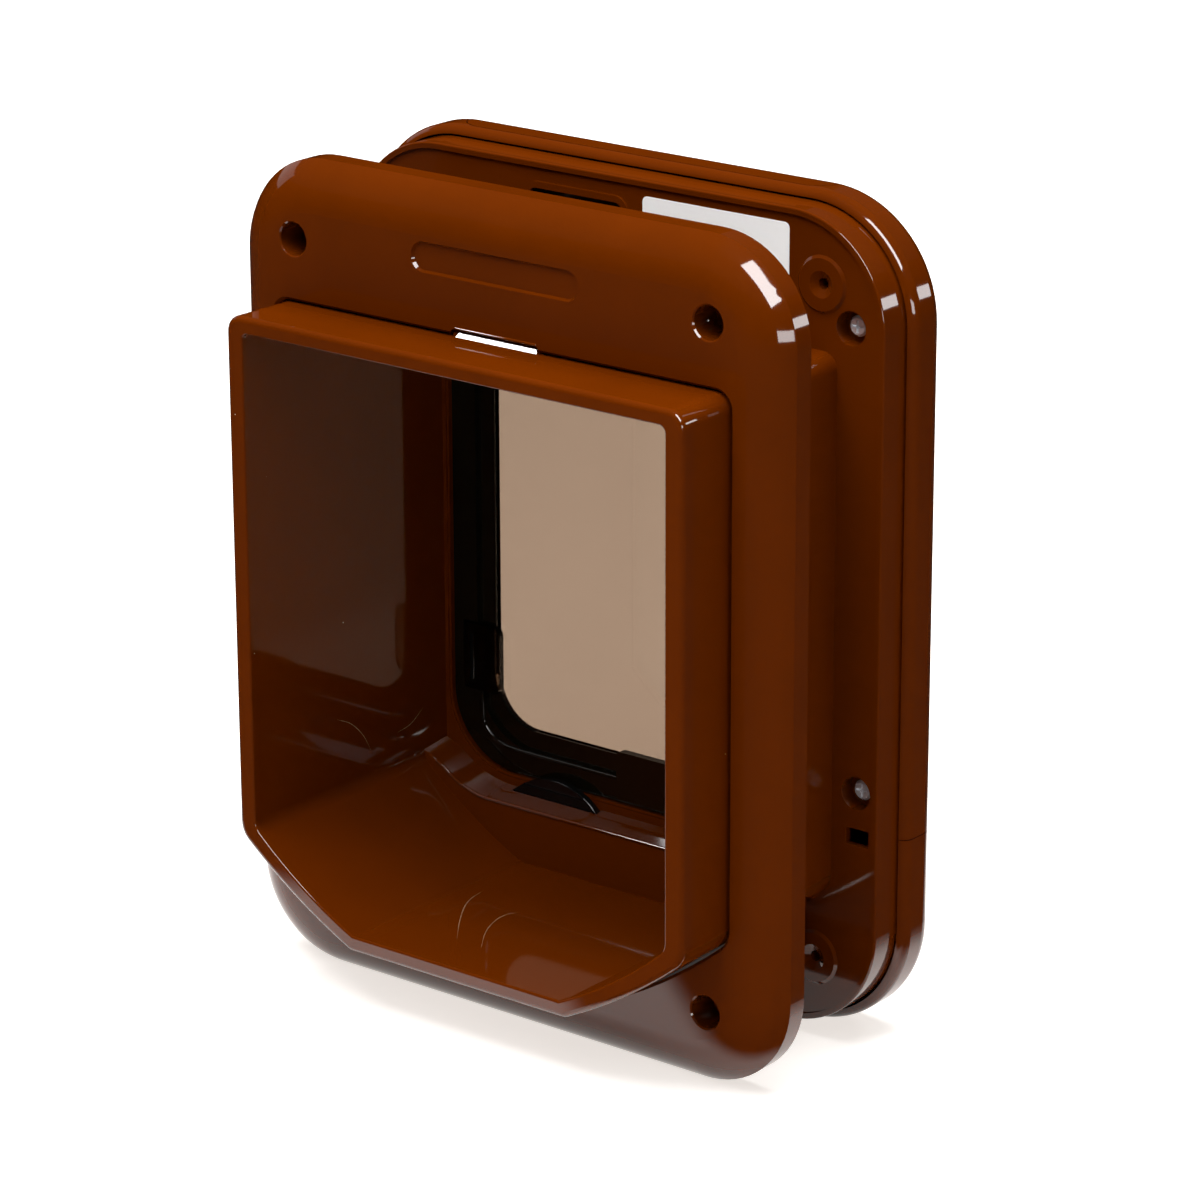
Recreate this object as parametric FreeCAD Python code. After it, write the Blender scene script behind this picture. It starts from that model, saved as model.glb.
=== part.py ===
"""Cat flap with a self-lining tunnel: a loose trim frame and a tunnel mouth for the outside of the door,
and a two-shell unit with the swinging flap, a four-way lock and a chip-operated latch for the inside.
X runs across the flap, Y from the outside of the door into the room, Z up. Z = 0 is what it stands on."""

import FreeCAD, Part
import math
import os

# Depths along Y, from the tunnel's lip to the lock knob
LIP_PROJECTION = 24.6
FRAME_DEPTH = 17.0
DOOR_GAP = 43.5
FRONT_SHELL_DEPTH = 11.5
REAR_SHELL_DEPTH = 16.5
KNOB_PROJECTION = 7.5

# Tunnel passage, seen along Y: it drives the unit, the flap and the trim frame round it
PASSAGE_HALF = 89.9
PASSAGE_TOP = 237.0
PASSAGE_FLOOR = 30.1
PASSAGE_SLOPE_WIDTH = 44.3
PASSAGE_SLOPE_HEIGHT = 29.4
CHAMFER_SAG = 2.0
PASSAGE_TOP_CORNER = 2.5
PASSAGE_SIDE_CORNER = 6.0
PASSAGE_FLOOR_CORNER = 1.2
CORNER_GROWTH = 0.6

# Tunnel walls: an outer liner, a sleeve inside it, and the aerial winding between them
LINER_OFFSET = 5.8
LINER_WALL = 2.0
LIP_SPREAD = 1.4
UNIT_SPREAD = -1.2
LIP_FACE = 2.6
LIP_OUTER_ROUND = 2.0
LIP_INNER_ROUND = 0.8
SLEEVE_STEP = 0.6
SLEEVE_WALL = 1.6
COIL_THICKNESS = 1.1
COIL_WIDTH = 14.0
COIL_BACK_FROM_LIP = 6.0
CATCH_HALF = 18.0
CATCH_HEIGHT = 2.0
CATCH_LENGTH = 5.0
CATCH_SETBACK = 0.8
CATCH_ROUND = 1.6

# Outer trim frame
FRAME_NARROWER = 3.0
FRAME_SHORTER = 2.0
FRAME_BASE = 0.9
FRAME_CORNER = 35.0
FRAME_WALL = 2.6
FRAME_CROWN_RADIUS = 20.0
FRAME_CROWN_DEPTH = 9.5
FRAME_HOLLOW_SLOPE = 12.0
FRAME_HOLLOW_START = 9.0
FRAME_COLLAR_WALL = 2.2
FRAME_EDGE_BEVEL = 1.0
FRAME_CLEARANCE = 0.7
FIXING_INSIDE_PASSAGE = 1.9
FIXING_BELOW_FLOOR = 1.1
FIXING_ABOVE_TOP = 28.0
FIXING_HOLE_R = 2.4
FIXING_HEAD_R = 5.8
FIXING_HEAD_DEPTH = 12.0
FIXING_EDGE_BEVEL = 0.5
FIXING_COLUMN_R = 7.6
BADGE_HALF = 34.6
BADGE_HEIGHT = 9.2
BADGE_ABOVE_TOP = 30.9
BADGE_CORNER = 4.2
BADGE_DEPTH = 1.0
BADGE_BEVEL = 0.7

# Door-side shell of the inner unit
UNIT_BORDER_SIDE = 27.8
UNIT_CORNER = 42.0
SHELL_STEP = 4.0
SHELL_WALL = 2.3
FACE_RIM_WIDTH = 2.2
FACE_RIM_HEIGHT = 0.8
FACE_EDGE_ROUND = 0.7
SHELL_OVERLAP = 1.3
SHELL_SEAM = 0.8
BOSS_RADIUS = 9.8
BOSS_HEIGHT = 0.8
BOSS_BEVEL = 1.0
BOSS_DISH_R = 4.6
BOSS_DISH_DEPTH = 1.6
BOSS_HOLE_R = 1.9
BOSS_HOLE_DEPTH = 9.0
BOSS_POST_R = 4.6
SLOT_CENTRE_X = -14.5
SLOT_HALF = 22.5
SLOT_FROM_TOP = 11.0
SLOT_HEIGHT = 12.0
SLOT_RIM = 2.3
SLOT_RIM_HEIGHT = 0.9
SLOT_CORNER = 5.5
WINDOW_FROM_SIDE = 12.5
WINDOW_BELOW_SCREW = 15.6
WINDOW_WIDTH = 9.2
WINDOW_HEIGHT = 6.0

# Recess in front of the flap; the shelf along its bottom bows up to the sides, in from them and up
RECESS_START = 6.1
RECESS_DEPTH = 12.7
RECESS_WALL = 2.4
SHELF_BELOW_SILL = 5.4
SHELF_CURVE = ((30.0, 0.0), (23.7, 0.7), (17.8, 2.4), (12.9, 4.9), (8.0, 8.1), (3.7, 10.4), (0.0, 11.9))
SHELF_RISE = 1.6
SHELF_EDGE_ROUND = 0.7

# Flap opening
OPENING_INSET = 1.7
OPENING_BELOW_TOP = 6.0
OPENING_SILL_RISE = 25.4
OPENING_CORNER = 28.0
OPENING_TOP_CORNER = 4.0
OPENING_STEP = 0.9
OPENING_STEP_DEPTH = 0.6
JAMB_WALL = 2.2
JAMB_END_FROM_BACK = 1.2

# Flap
FLAP_CLEARANCE_SIDE = 1.0
FLAP_CLEARANCE_SILL = 1.1
FLAP_CORNER = 27.0
FLAP_TOP_CORNER = 0.5
FLAP_THICKNESS = 7.0
FLAP_MID_FROM_UNIT = 23.6
RIM_SIDE = 18.2
RIM_BOTTOM = 16.4
RIM_TOP = 14.0
RIM_CORNER = 18.0
RIM_BAND = 7.5
RIM_BAND_CUT = 1.6
PANE_THICKNESS = 2.4
HINGE_BELOW_OPENING = 6.5
AXLE_R = 1.5
AXLE_FIT = 0.06
AXLE_SEAT = 4.0
AXLE_END_GAP = 0.5
AXLE_BOSS_R = 3.6

# Pieces on the flap
MAGNET_HOLDER_WIDTH = 25.0
MAGNET_HOLDER_PROUD = 0.8
MAGNET_HOLDER_UP = 2.2
MAGNET_HOLDER_FROM_EDGE = 0.6
MAGNET_HOLDER_CORNER = 1.0
MAGNET_HOLDER_LAP = 2.0
MAGNET_HOLDER_HOOK_CORNER = 1.8
MAGNET_WIDTH = 18.0
MAGNET_HEIGHT = 5.0
MAGNET_DEPTH = 3.0
MAGNET_UP = 1.8
SIDE_CLIP_UP = 40.2
SIDE_CLIP_HEIGHT = 25.5
SIDE_CLIP_INSET = 4.4
SIDE_CLIP_GAP = 0.3
SIDE_CLIP_CORNER = 3.0
SIDE_CLIP_INWARD = 3.2
SIDE_CLIP_PROUD = 0.8
SIDE_CLIP_ROLL_R = 1.7
SIDE_CLIP_ROLL_SUNK = 1.0
SIDE_CLIP_ROLL_END = 3.8

# Lock: a disc with a lobe that stands up in front of the flap
LOCK_X = -37.8
LOCK_BELOW_SILL = 23.4
LOCK_LOBE_R = 27.0
LOCK_LOBE_SWEEP = 104.0
LOCK_DISC_R = 18.2
LOCK_DISC_THICKNESS = 2.5
LOCK_DISC_TO_FLAP = 1.9
LOCK_SLOT_CLEARANCE = 0.5
SPINDLE_R = 3.5
SPINDLE_FIT = 0.08
SPINDLE_PROUD = 0.4
KNOB_R = 17.0
KNOB_BASE = 2.4
KNOB_GRIP_HALF = 3.6
KNOB_GRIP_SHORT = 2.0
KNOB_GRIP_CORNER = 3.4
KNOB_GRIP_BEVEL = 1.2
KNOB_DISH_DEPTH = 0.9
KNOB_GAP = 0.3

# Chip-operated latch that rises into a pocket in the flap's lower edge
LATCH_X = 33.0
LATCH_WIDTH = 12.0
LATCH_BELOW_SILL = 0.6
LATCH_HEIGHT = 16.0
LATCH_THICKNESS = 2.4
LATCH_LIFT = 6.0
LATCH_FOOT = 2.0
LATCH_SLOT_CLEARANCE = 0.4
LATCH_POCKET_CLEARANCE = 0.7
SOLENOID_WIDTH = 20.0
SOLENOID_HEIGHT = 20.0
SOLENOID_DEPTH = 11.0
SOLENOID_BASE_Z = 9.0
SOLENOID_FLOOR = 4.0
SOLENOID_ROUND = 1.5
PLUNGER_R = 2.4
PLUNGER_FIT = 0.08
PLUNGER_FROM_LATCH = 4.8
PLUNGER_OFF_FLOOR = 0.5

# Case screws
SCREW_UPPER_FROM_PASSAGE = 9.9
SCREW_UPPER_ABOVE_TOP = 15.0
SCREW_LOWER_FROM_SIDE = 13.4
SCREW_LOWER_ABOVE_SEAM = 17.4
SCREW_CUP_R = 5.9
SCREW_CUP_DEPTH = 6.0
SCREW_CUP_WALL = 1.5
SCREW_HEAD_R = 3.6
SCREW_HEAD_HEIGHT = 2.4
SCREW_CROSS_REACH = 2.2
SCREW_CROSS_HALF = 0.45
SCREW_SHANK_R = 1.5
SCREW_LENGTH = 16.0
SCREW_FIT = 0.08
POST_R = 4.4

# Room-side shell, its covers and controls
REAR_WALL = 2.4
REAR_FRONT_ROUND = 4.0
REAR_BACK_ROUND = 6.0
REAR_LIP_DEPTH = 4.0
SEAM_GAP = 0.3
LOWER_SEAM_ABOVE_SILL = 19.1
COVER_FROM_SIDE = 38.7
COVER_HEIGHT = 39.0
COVER_CORNER = 9.0
COVER_FRONT_FROM_SEAM = 3.0
COVER_GAP = 0.4
BUTTON_X = 58.0
BUTTON_ABOVE_OPENING = 13.0
BUTTON_BELOW_COVER = 10.0
BUTTON_R = 4.6
BUTTON_FIT = 0.25
BUTTON_LENGTH = 4.0
BUTTON_PROUD = 1.1
BUTTON_BEVEL = 0.6
LAMP_X = 44.0
LAMP_R = 2.0
LAMP_PROUD = 0.5

# Batteries and circuit board
CELL_R = 7.1
CELL_LENGTH = 49.0
CELL_TIP_R = 2.6
CELL_TIP = 1.4
CELL_FROM_TOP = 8.3
CELL_ROW_GAP = 0.8
CELL_GAP = 3.0
TRAY_WALL = 1.4
TRAY_CLEARANCE = 0.4
TRAY_PAST_MIDDLE = 2.0
CONTACT_THICKNESS = 0.5
CONTACT_HALF_DEPTH = 4.0
CONTACT_HALF_HEIGHT = 5.0
BOARD_INSET = 2.9
BOARD_BELOW_TRAY = 2.2
BOARD_THICKNESS = 1.6
BOARD_FROM_UNIT = 15.5

# Places across and up, worked out from the passage
PASSAGE_FLOOR_HALF = PASSAGE_HALF - PASSAGE_SLOPE_WIDTH
PASSAGE_SIDE_END = PASSAGE_FLOOR + PASSAGE_SLOPE_HEIGHT
OPENING_HALF = PASSAGE_HALF - OPENING_INSET
OPENING_TOP = PASSAGE_TOP - OPENING_BELOW_TOP
OPENING_SILL = PASSAGE_FLOOR + OPENING_SILL_RISE
SHELF_Z = OPENING_SILL - SHELF_BELOW_SILL
FLAP_HALF = OPENING_HALF - FLAP_CLEARANCE_SIDE
FLAP_BOTTOM = OPENING_SILL + FLAP_CLEARANCE_SILL
HINGE_Z = OPENING_TOP - HINGE_BELOW_OPENING
BUTTON_Z = OPENING_TOP + BUTTON_ABOVE_OPENING
COVER_BOTTOM = BUTTON_Z + BUTTON_BELOW_COVER
UNIT_HEIGHT = COVER_BOTTOM + COVER_HEIGHT
UNIT_WIDTH = 2 * (PASSAGE_HALF + UNIT_BORDER_SIDE)
COVER_HALF = UNIT_WIDTH / 2 - COVER_FROM_SIDE
FRAME_WIDTH = UNIT_WIDTH - FRAME_NARROWER
FRAME_HEIGHT = UNIT_HEIGHT - FRAME_SHORTER
FIXING_X = PASSAGE_HALF - FIXING_INSIDE_PASSAGE
FIXING_LOW_Z = PASSAGE_FLOOR - FIXING_BELOW_FLOOR
FIXING_HIGH_Z = PASSAGE_TOP + FIXING_ABOVE_TOP
BADGE_CENTRE_Z = PASSAGE_TOP + BADGE_ABOVE_TOP
SLOT_TOP = UNIT_HEIGHT - SLOT_FROM_TOP
LOWER_SEAM_Z = OPENING_SILL + LOWER_SEAM_ABOVE_SILL
SCREW_UPPER_X = PASSAGE_HALF + SCREW_UPPER_FROM_PASSAGE
SCREW_UPPER_Z = PASSAGE_TOP + SCREW_UPPER_ABOVE_TOP
SCREW_LOWER_X = UNIT_WIDTH / 2 - SCREW_LOWER_FROM_SIDE
SCREW_LOWER_Z = LOWER_SEAM_Z + SCREW_LOWER_ABOVE_SEAM
WINDOW_X = UNIT_WIDTH / 2 - WINDOW_FROM_SIDE
WINDOW_Z = SCREW_LOWER_Z - WINDOW_BELOW_SCREW
LOCK_Z = OPENING_SILL - LOCK_BELOW_SILL
SIDE_CLIP_LOW = FLAP_BOTTOM + SIDE_CLIP_UP - SIDE_CLIP_HEIGHT / 2
SIDE_CLIP_OUTER = FLAP_HALF - SIDE_CLIP_INSET
CELL_HIGH_Z = UNIT_HEIGHT - CELL_FROM_TOP - CELL_R
CELL_ROWS_Z = (CELL_HIGH_Z - 2 * CELL_R - CELL_ROW_GAP, CELL_HIGH_Z)
TRAY_LOW_Z = CELL_ROWS_Z[0] - CELL_R - TRAY_CLEARANCE - TRAY_WALL
BOARD_LOW_Z = PASSAGE_TOP + SLEEVE_STEP + RECESS_WALL

# Places along Y, worked out from the depths
TOTAL_DEPTH = (LIP_PROJECTION + FRAME_DEPTH + DOOR_GAP + FRONT_SHELL_DEPTH + REAR_SHELL_DEPTH
               + KNOB_PROJECTION)
Y_LIP = -TOTAL_DEPTH / 2
Y_FRAME = Y_LIP + LIP_PROJECTION
Y_FRAME_BACK = Y_FRAME + FRAME_DEPTH
Y_UNIT = Y_FRAME_BACK + DOOR_GAP
Y_SEAM = Y_UNIT + FRONT_SHELL_DEPTH
Y_BACK = Y_SEAM + REAR_SHELL_DEPTH
Y_RECESS = Y_UNIT + RECESS_START
Y_OPENING = Y_RECESS + RECESS_DEPTH
Y_FLAP = Y_UNIT + FLAP_MID_FROM_UNIT
Y_FLAP_FRONT = Y_FLAP - FLAP_THICKNESS / 2
Y_FLAP_BACK = Y_FLAP + FLAP_THICKNESS / 2
Y_DISC = Y_FLAP_FRONT - LOCK_DISC_TO_FLAP - LOCK_DISC_THICKNESS
Y_JAMB_BACK = Y_BACK - JAMB_END_FROM_BACK
Y_PLUNGER = Y_FLAP - PLUNGER_FROM_LATCH
Y_CELL = Y_BACK - REAR_WALL - TRAY_CLEARANCE - CELL_R


def vec(x, y, z):
    return FreeCAD.Vector(x, y, z)


def arc_edge(centre_x, centre_z, radius, start, end, y):
    """Circular edge in a plane of constant y, between two angles in degrees from +X towards +Z."""
    points = []
    for angle in (start, (start + end) / 2, end):
        a = math.radians(angle)
        points.append(vec(centre_x + radius * math.cos(a), y, centre_z + radius * math.sin(a)))
    return Part.Arc(*points).toShape()


def line_edge(start, end, y):
    return Part.LineSegment(vec(start[0], y, start[1]), vec(end[0], y, end[1])).toShape()


def rounded_wire(left, right, low, high, low_radius, high_radius, y):
    """Rounded rectangle at one y, with its own radius for the two lower and the two upper corners."""
    rl, rh = low_radius, high_radius
    edges = [
        line_edge((left + rl, low), (right - rl, low), y),
        arc_edge(right - rl, low + rl, rl, -90, 0, y),
        line_edge((right, low + rl), (right, high - rh), y),
        arc_edge(right - rh, high - rh, rh, 0, 90, y),
        line_edge((right - rh, high), (left + rh, high), y),
        arc_edge(left + rh, high - rh, rh, 90, 180, y),
        line_edge((left, high - rh), (left, low + rl), y),
        arc_edge(left + rl, low + rl, rl, 180, 270, y),
    ]
    return Part.Wire(edges)


def prism(wire, depth):
    """Solid swept from a flat wire towards +Y."""
    return Part.Face(wire).extrude(vec(0, depth, 0))


def rounded_prism(left, right, low, high, low_radius, high_radius, y, depth):
    return prism(rounded_wire(left, right, low, high, low_radius, high_radius, y), depth)


def box(x0, x1, y0, y1, z0, z1):
    return Part.makeBox(x1 - x0, y1 - y0, z1 - z0, vec(x0, y0, z0))


def rod(radius, length, x, y, z):
    """Cylinder that runs towards +Y from its start."""
    return Part.makeCylinder(radius, length, vec(x, y, z), vec(0, 1, 0))


def edges_at_y(shape, y):
    """Edges that lie wholly in the plane at y."""
    tolerance = 1e-4
    return [e for e in shape.Edges
            if abs(e.BoundBox.YMin - y) < tolerance and abs(e.BoundBox.YMax - y) < tolerance]


def edges_along_y(shape, x, z, reach):
    """Straight edges along Y that pass within reach of the point (x, z)."""
    found = []
    for e in shape.Edges:
        b = e.BoundBox
        if b.YLength < 1 or b.XLength > 1e-3 or b.ZLength > 1e-3:
            continue
        if math.hypot(b.XMin - x, b.ZMin - z) < reach:
            found.append(e)
    return found


def tunnel_points(offset, spread=0):
    """Corner points of the tunnel's section, moved outwards by an offset, the sides by a spread as well."""
    slope = math.atan2(PASSAGE_SIDE_END - PASSAGE_FLOOR, PASSAGE_HALF - PASSAGE_FLOOR_HALF)
    side = (PASSAGE_HALF + offset + spread, PASSAGE_SIDE_END - offset * math.tan((math.pi / 2 - slope) / 2))
    floor = (PASSAGE_FLOOR_HALF + offset * math.tan(slope / 2), PASSAGE_FLOOR - offset)
    return side, floor, slope


def tunnel_wire(offset, y, spread=0):
    """The tunnel's section: square above, with bowed slopes at its lower corners."""
    side, floor, slope = tunnel_points(offset, spread)
    top = PASSAGE_TOP + offset
    half = side[0]
    r = PASSAGE_TOP_CORNER + max(offset, 0) * CORNER_GROWTH
    mid_x = (side[0] + floor[0]) / 2 + CHAMFER_SAG * math.sin(slope)
    mid_z = (side[1] + floor[1]) / 2 - CHAMFER_SAG * math.cos(slope)
    right_slope = Part.Arc(vec(floor[0], y, floor[1]), vec(mid_x, y, mid_z), vec(side[0], y, side[1]))
    left_slope = Part.Arc(vec(-side[0], y, side[1]), vec(-mid_x, y, mid_z), vec(-floor[0], y, floor[1]))
    edges = [
        line_edge((-floor[0], floor[1]), floor, y),
        right_slope.toShape(),
        line_edge(side, (half, top - r), y),
        arc_edge(half - r, top - r, r, 0, 90, y),
        line_edge((half - r, top), (r - half, top), y),
        arc_edge(r - half, top - r, r, 90, 180, y),
        line_edge((-half, top - r), (-side[0], side[1]), y),
        left_slope.toShape(),
    ]
    return Part.Wire(edges)


def tunnel_prism(offset, y, depth, spread=0):
    """Solid of the tunnel's section, with its lower corners rounded."""
    solid = prism(tunnel_wire(offset, y, spread), depth)
    side, floor, _ = tunnel_points(offset, spread)
    side_edges = []
    for sign in (-1, 1):
        side_edges += edges_along_y(solid, sign * side[0], side[1], 0.1)
    solid = solid.makeFillet(PASSAGE_SIDE_CORNER + offset / 2, side_edges)
    floor_edges = []
    for sign in (-1, 1):
        floor_edges += edges_along_y(solid, sign * floor[0], floor[1], 0.1)
    return solid.makeFillet(PASSAGE_FLOOR_CORNER + max(offset, 0) / 2, floor_edges)


def tunnel_loft(start, end):
    """Solid between two sections of the tunnel, each an offset, a spread and a y."""
    wires = []
    for offset, spread, y in (start, end):
        slice_solid = tunnel_prism(offset, y, 1, spread)
        front = min(slice_solid.Faces, key=lambda face: face.BoundBox.YMax)
        wires.append(front.OuterWire)
    return Part.makeLoft(wires, True, True)


def liner_spread(y):
    """How far the liner's sides stand out at one y: they taper from the lip to the unit."""
    share = (y - Y_LIP) / (Y_UNIT + FACE_RIM_HEIGHT - Y_LIP)
    return LIP_SPREAD + share * (UNIT_SPREAD - LIP_SPREAD)


def fixing_points():
    """The four fixing places, shared by the frame's holes and the unit's bosses."""
    return [(sign * FIXING_X, z) for sign in (-1, 1) for z in (FIXING_LOW_Z, FIXING_HIGH_Z)]


def screw_points():
    points = []
    for sign in (-1, 1):
        points.append((sign * SCREW_UPPER_X, SCREW_UPPER_Z))
        points.append((sign * SCREW_LOWER_X, SCREW_LOWER_Z))
    return points


def tunnel_liner():
    """Outer wall of the tunnel, tapered, with the rounded lip that hides the winding and the frame's catch."""
    end = Y_UNIT + FACE_RIM_HEIGHT
    outer = tunnel_loft((LINER_OFFSET, LIP_SPREAD, Y_LIP), (LINER_OFFSET, UNIT_SPREAD, end))
    outer = outer.makeFillet(LIP_OUTER_ROUND, edges_at_y(outer, Y_LIP))
    inner = LINER_OFFSET - LINER_WALL
    start = Y_LIP + LIP_FACE
    hollow = tunnel_loft((inner, liner_spread(start), start), (inner, UNIT_SPREAD, end))
    mouth = tunnel_prism(0, Y_LIP - 1, LIP_FACE + 2)
    shell = outer.cut(hollow).cut(mouth)
    shell = shell.makeFillet(LIP_INNER_ROUND, edges_at_y(shell, Y_LIP))
    return shell.fuse(frame_catch()).removeSplitter()


def frame_catch():
    """Low rib on top of the tunnel that keeps the trim frame from sliding off."""
    low = PASSAGE_TOP + LINER_OFFSET - LINER_WALL / 2
    start = Y_FRAME + CATCH_SETBACK
    block = box(-CATCH_HALF, CATCH_HALF, start, start + CATCH_LENGTH,
                low, PASSAGE_TOP + LINER_OFFSET + CATCH_HEIGHT)
    top_front = [e for e in edges_at_y(block, start) if e.BoundBox.ZMin > low + 1]
    return block.makeFillet(CATCH_ROUND, top_front)


def tunnel_sleeve():
    """Inner skin of the passage, set back a little behind the lip, up to the flap's recess."""
    start = Y_LIP + LIP_FACE
    outer = tunnel_prism(SLEEVE_STEP + SLEEVE_WALL, start, Y_RECESS - start)
    inner = tunnel_prism(SLEEVE_STEP, start - 1, Y_RECESS - start + 2)
    return outer.cut(inner)


def aerial_coil():
    """Flat band of windings round the sleeve, close behind the lip."""
    start = Y_LIP + LIP_FACE + COIL_BACK_FROM_LIP
    low = SLEEVE_STEP + SLEEVE_WALL
    outer = tunnel_prism(low + COIL_THICKNESS, start, COIL_WIDTH)
    inner = tunnel_prism(low, start - 1, COIL_WIDTH + 2)
    return outer.cut(inner)


def frame_wire(inset, y):
    """The trim frame's outline, moved inwards by an inset."""
    half = FRAME_WIDTH / 2 - inset
    r = FRAME_CORNER - inset
    return rounded_wire(-half, half, FRAME_BASE + inset, FRAME_BASE + FRAME_HEIGHT - inset, r, r, y)


def crowned_plate():
    """Frame plate with a crowned front: the crown's arc stops at the side wall before it is square."""
    full = FRAME_CROWN_RADIUS
    spread = full - math.sqrt(full ** 2 - (full - FRAME_CROWN_DEPTH) ** 2)
    big = prism(frame_wire(-spread, Y_FRAME), full + FRAME_DEPTH)
    big = big.makeFillet(full, edges_at_y(big, Y_FRAME))
    return prism(frame_wire(0, Y_FRAME), FRAME_DEPTH).common(big)


def frame_hollow():
    """Hollow of the frame's back, with sloped sides under the crown."""
    start = Y_FRAME + FRAME_WALL
    middle = Y_FRAME + FRAME_HOLLOW_START
    slope = Part.makeLoft([frame_wire(FRAME_WALL + FRAME_HOLLOW_SLOPE, start),
                           frame_wire(FRAME_WALL, middle)], True, True)
    return slope.fuse(prism(frame_wire(FRAME_WALL, middle), Y_FRAME_BACK - middle))


def badge_recess():
    """Shallow bare recess with bevelled sides, above the opening."""
    wires = []
    for grow, depth in ((BADGE_BEVEL, 0), (0, BADGE_DEPTH)):
        half = BADGE_HALF + grow
        reach = BADGE_HEIGHT / 2 + grow
        wires.append(rounded_wire(-half, half, BADGE_CENTRE_Z - reach, BADGE_CENTRE_Z + reach,
                                  BADGE_CORNER + grow, BADGE_CORNER + grow, Y_FRAME + depth))
    return Part.makeLoft(wires, True, True)


def outer_frame():
    """Trim frame for the outside of the door, hollow behind, that slides over the tunnel."""
    opening = LINER_OFFSET + FRAME_CLEARANCE
    spread = liner_spread(Y_FRAME)
    collar = tunnel_prism(opening + FRAME_COLLAR_WALL, Y_FRAME + FRAME_WALL / 2,
                          FRAME_DEPTH - FRAME_WALL / 2, spread)
    frame = crowned_plate().cut(frame_hollow()).fuse(collar)
    for x, z in fixing_points():
        column = rod(FIXING_COLUMN_R, FRAME_DEPTH - FRAME_WALL / 2, x, Y_FRAME + FRAME_WALL / 2, z)
        frame = frame.fuse(column)
    for x, z in fixing_points():
        frame = frame.cut(rod(FIXING_HEAD_R, FIXING_HEAD_DEPTH, x, Y_FRAME, z))
        frame = frame.cut(rod(FIXING_HOLE_R, FRAME_DEPTH, x, Y_FRAME, z))
        frame = frame.cut(Part.makeCone(FIXING_HEAD_R + FIXING_EDGE_BEVEL, FIXING_HEAD_R, FIXING_EDGE_BEVEL,
                                        vec(x, Y_FRAME, z), vec(0, 1, 0)))
    bevel = tunnel_loft((opening + FRAME_EDGE_BEVEL, spread, Y_FRAME),
                        (opening, spread, Y_FRAME + FRAME_EDGE_BEVEL))
    frame = frame.cut(tunnel_prism(opening, Y_FRAME - 1, FRAME_DEPTH + 2, spread)).cut(bevel)
    half = CATCH_HALF + FRAME_CLEARANCE
    top = PASSAGE_TOP + opening + CATCH_HEIGHT
    notch = rounded_prism(-half, half, PASSAGE_TOP, top, CATCH_ROUND, CATCH_ROUND, Y_FRAME - 1, FRAME_DEPTH + 2)
    return frame.cut(notch).cut(badge_recess()).removeSplitter()


def front_blank(inset, y, depth):
    """The door-side shell's outline, moved inwards by an inset."""
    half = UNIT_WIDTH / 2 - SHELL_STEP - inset
    low = SHELL_STEP + inset
    r = UNIT_CORNER - SHELL_STEP - inset
    return rounded_prism(-half, half, low, UNIT_HEIGHT - low, r, r, y, depth)


def opening_prism(offset, y, depth):
    """The flap opening's outline, moved outwards by an offset."""
    half = OPENING_HALF + offset
    return rounded_prism(-half, half, OPENING_SILL - offset, OPENING_TOP + offset,
                         OPENING_CORNER + offset, OPENING_TOP_CORNER + offset, y, depth)


def recess_wire(offset, lift, y):
    """The recess's outline, moved outwards by an offset, with its shelf lifted."""
    half = PASSAGE_HALF + SLEEVE_STEP + offset
    top = PASSAGE_TOP + SLEEVE_STEP + offset
    r = PASSAGE_TOP_CORNER + max(offset, 0) * CORNER_GROWTH
    shelf = SHELF_Z + lift - offset
    right = [vec(PASSAGE_HALF + SLEEVE_STEP - inward, y, shelf + up) for inward, up in SHELF_CURVE[:-1]]
    right.append(vec(half, y, shelf + SHELF_CURVE[-1][1]))
    left = [vec(-p.x, y, p.z) for p in reversed(right)]
    right_curve = Part.BSplineCurve()
    right_curve.interpolate(right)
    left_curve = Part.BSplineCurve()
    left_curve.interpolate(left)
    low = right[0].z
    end = right[-1].z
    edges = [
        line_edge((-right[0].x, low), (right[0].x, low), y),
        right_curve.toShape(),
        line_edge((half, end), (half, top - r), y),
        arc_edge(half - r, top - r, r, 0, 90, y),
        line_edge((half - r, top), (r - half, top), y),
        arc_edge(r - half, top - r, r, 90, 180, y),
        line_edge((-half, top - r), (-half, end), y),
        left_curve.toShape(),
    ]
    return Part.Wire(edges)


def recess_hollow():
    """The recess in front of the flap; its shelf rises a little towards the flap."""
    front = recess_wire(0, 0, Y_RECESS)
    back = recess_wire(0, SHELF_RISE, Y_OPENING)
    return Part.makeLoft([front, back], True, True)


def recess_body():
    """Solid that the recess, the flap opening and the wall below the shelf are cut from."""
    reach = SLEEVE_STEP + SLEEVE_WALL + RECESS_WALL
    front_wall = tunnel_prism(reach, Y_UNIT + FACE_RIM_HEIGHT,
                              Y_RECESS + RECESS_WALL - Y_UNIT - FACE_RIM_HEIGHT)
    ring = prism(recess_wire(RECESS_WALL, 0, Y_RECESS), RECESS_DEPTH + JAMB_WALL)
    jamb = opening_prism(JAMB_WALL, Y_OPENING, Y_JAMB_BACK - Y_OPENING)
    body = front_wall.fuse(ring).fuse(jamb)
    body = body.cut(tunnel_prism(SLEEVE_STEP + SLEEVE_WALL, Y_UNIT - 1, RECESS_START + 1))
    body = body.cut(recess_hollow()).cut(opening_prism(0, Y_OPENING - 1, Y_JAMB_BACK - Y_OPENING + 2))
    body = body.cut(opening_prism(OPENING_STEP, Y_OPENING, OPENING_STEP_DEPTH))
    shelf_edges = [e for e in edges_at_y(body, Y_RECESS) if abs(e.BoundBox.ZMin - SHELF_Z) < 0.2]
    return body.makeFillet(SHELF_EDGE_ROUND, shelf_edges)


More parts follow.
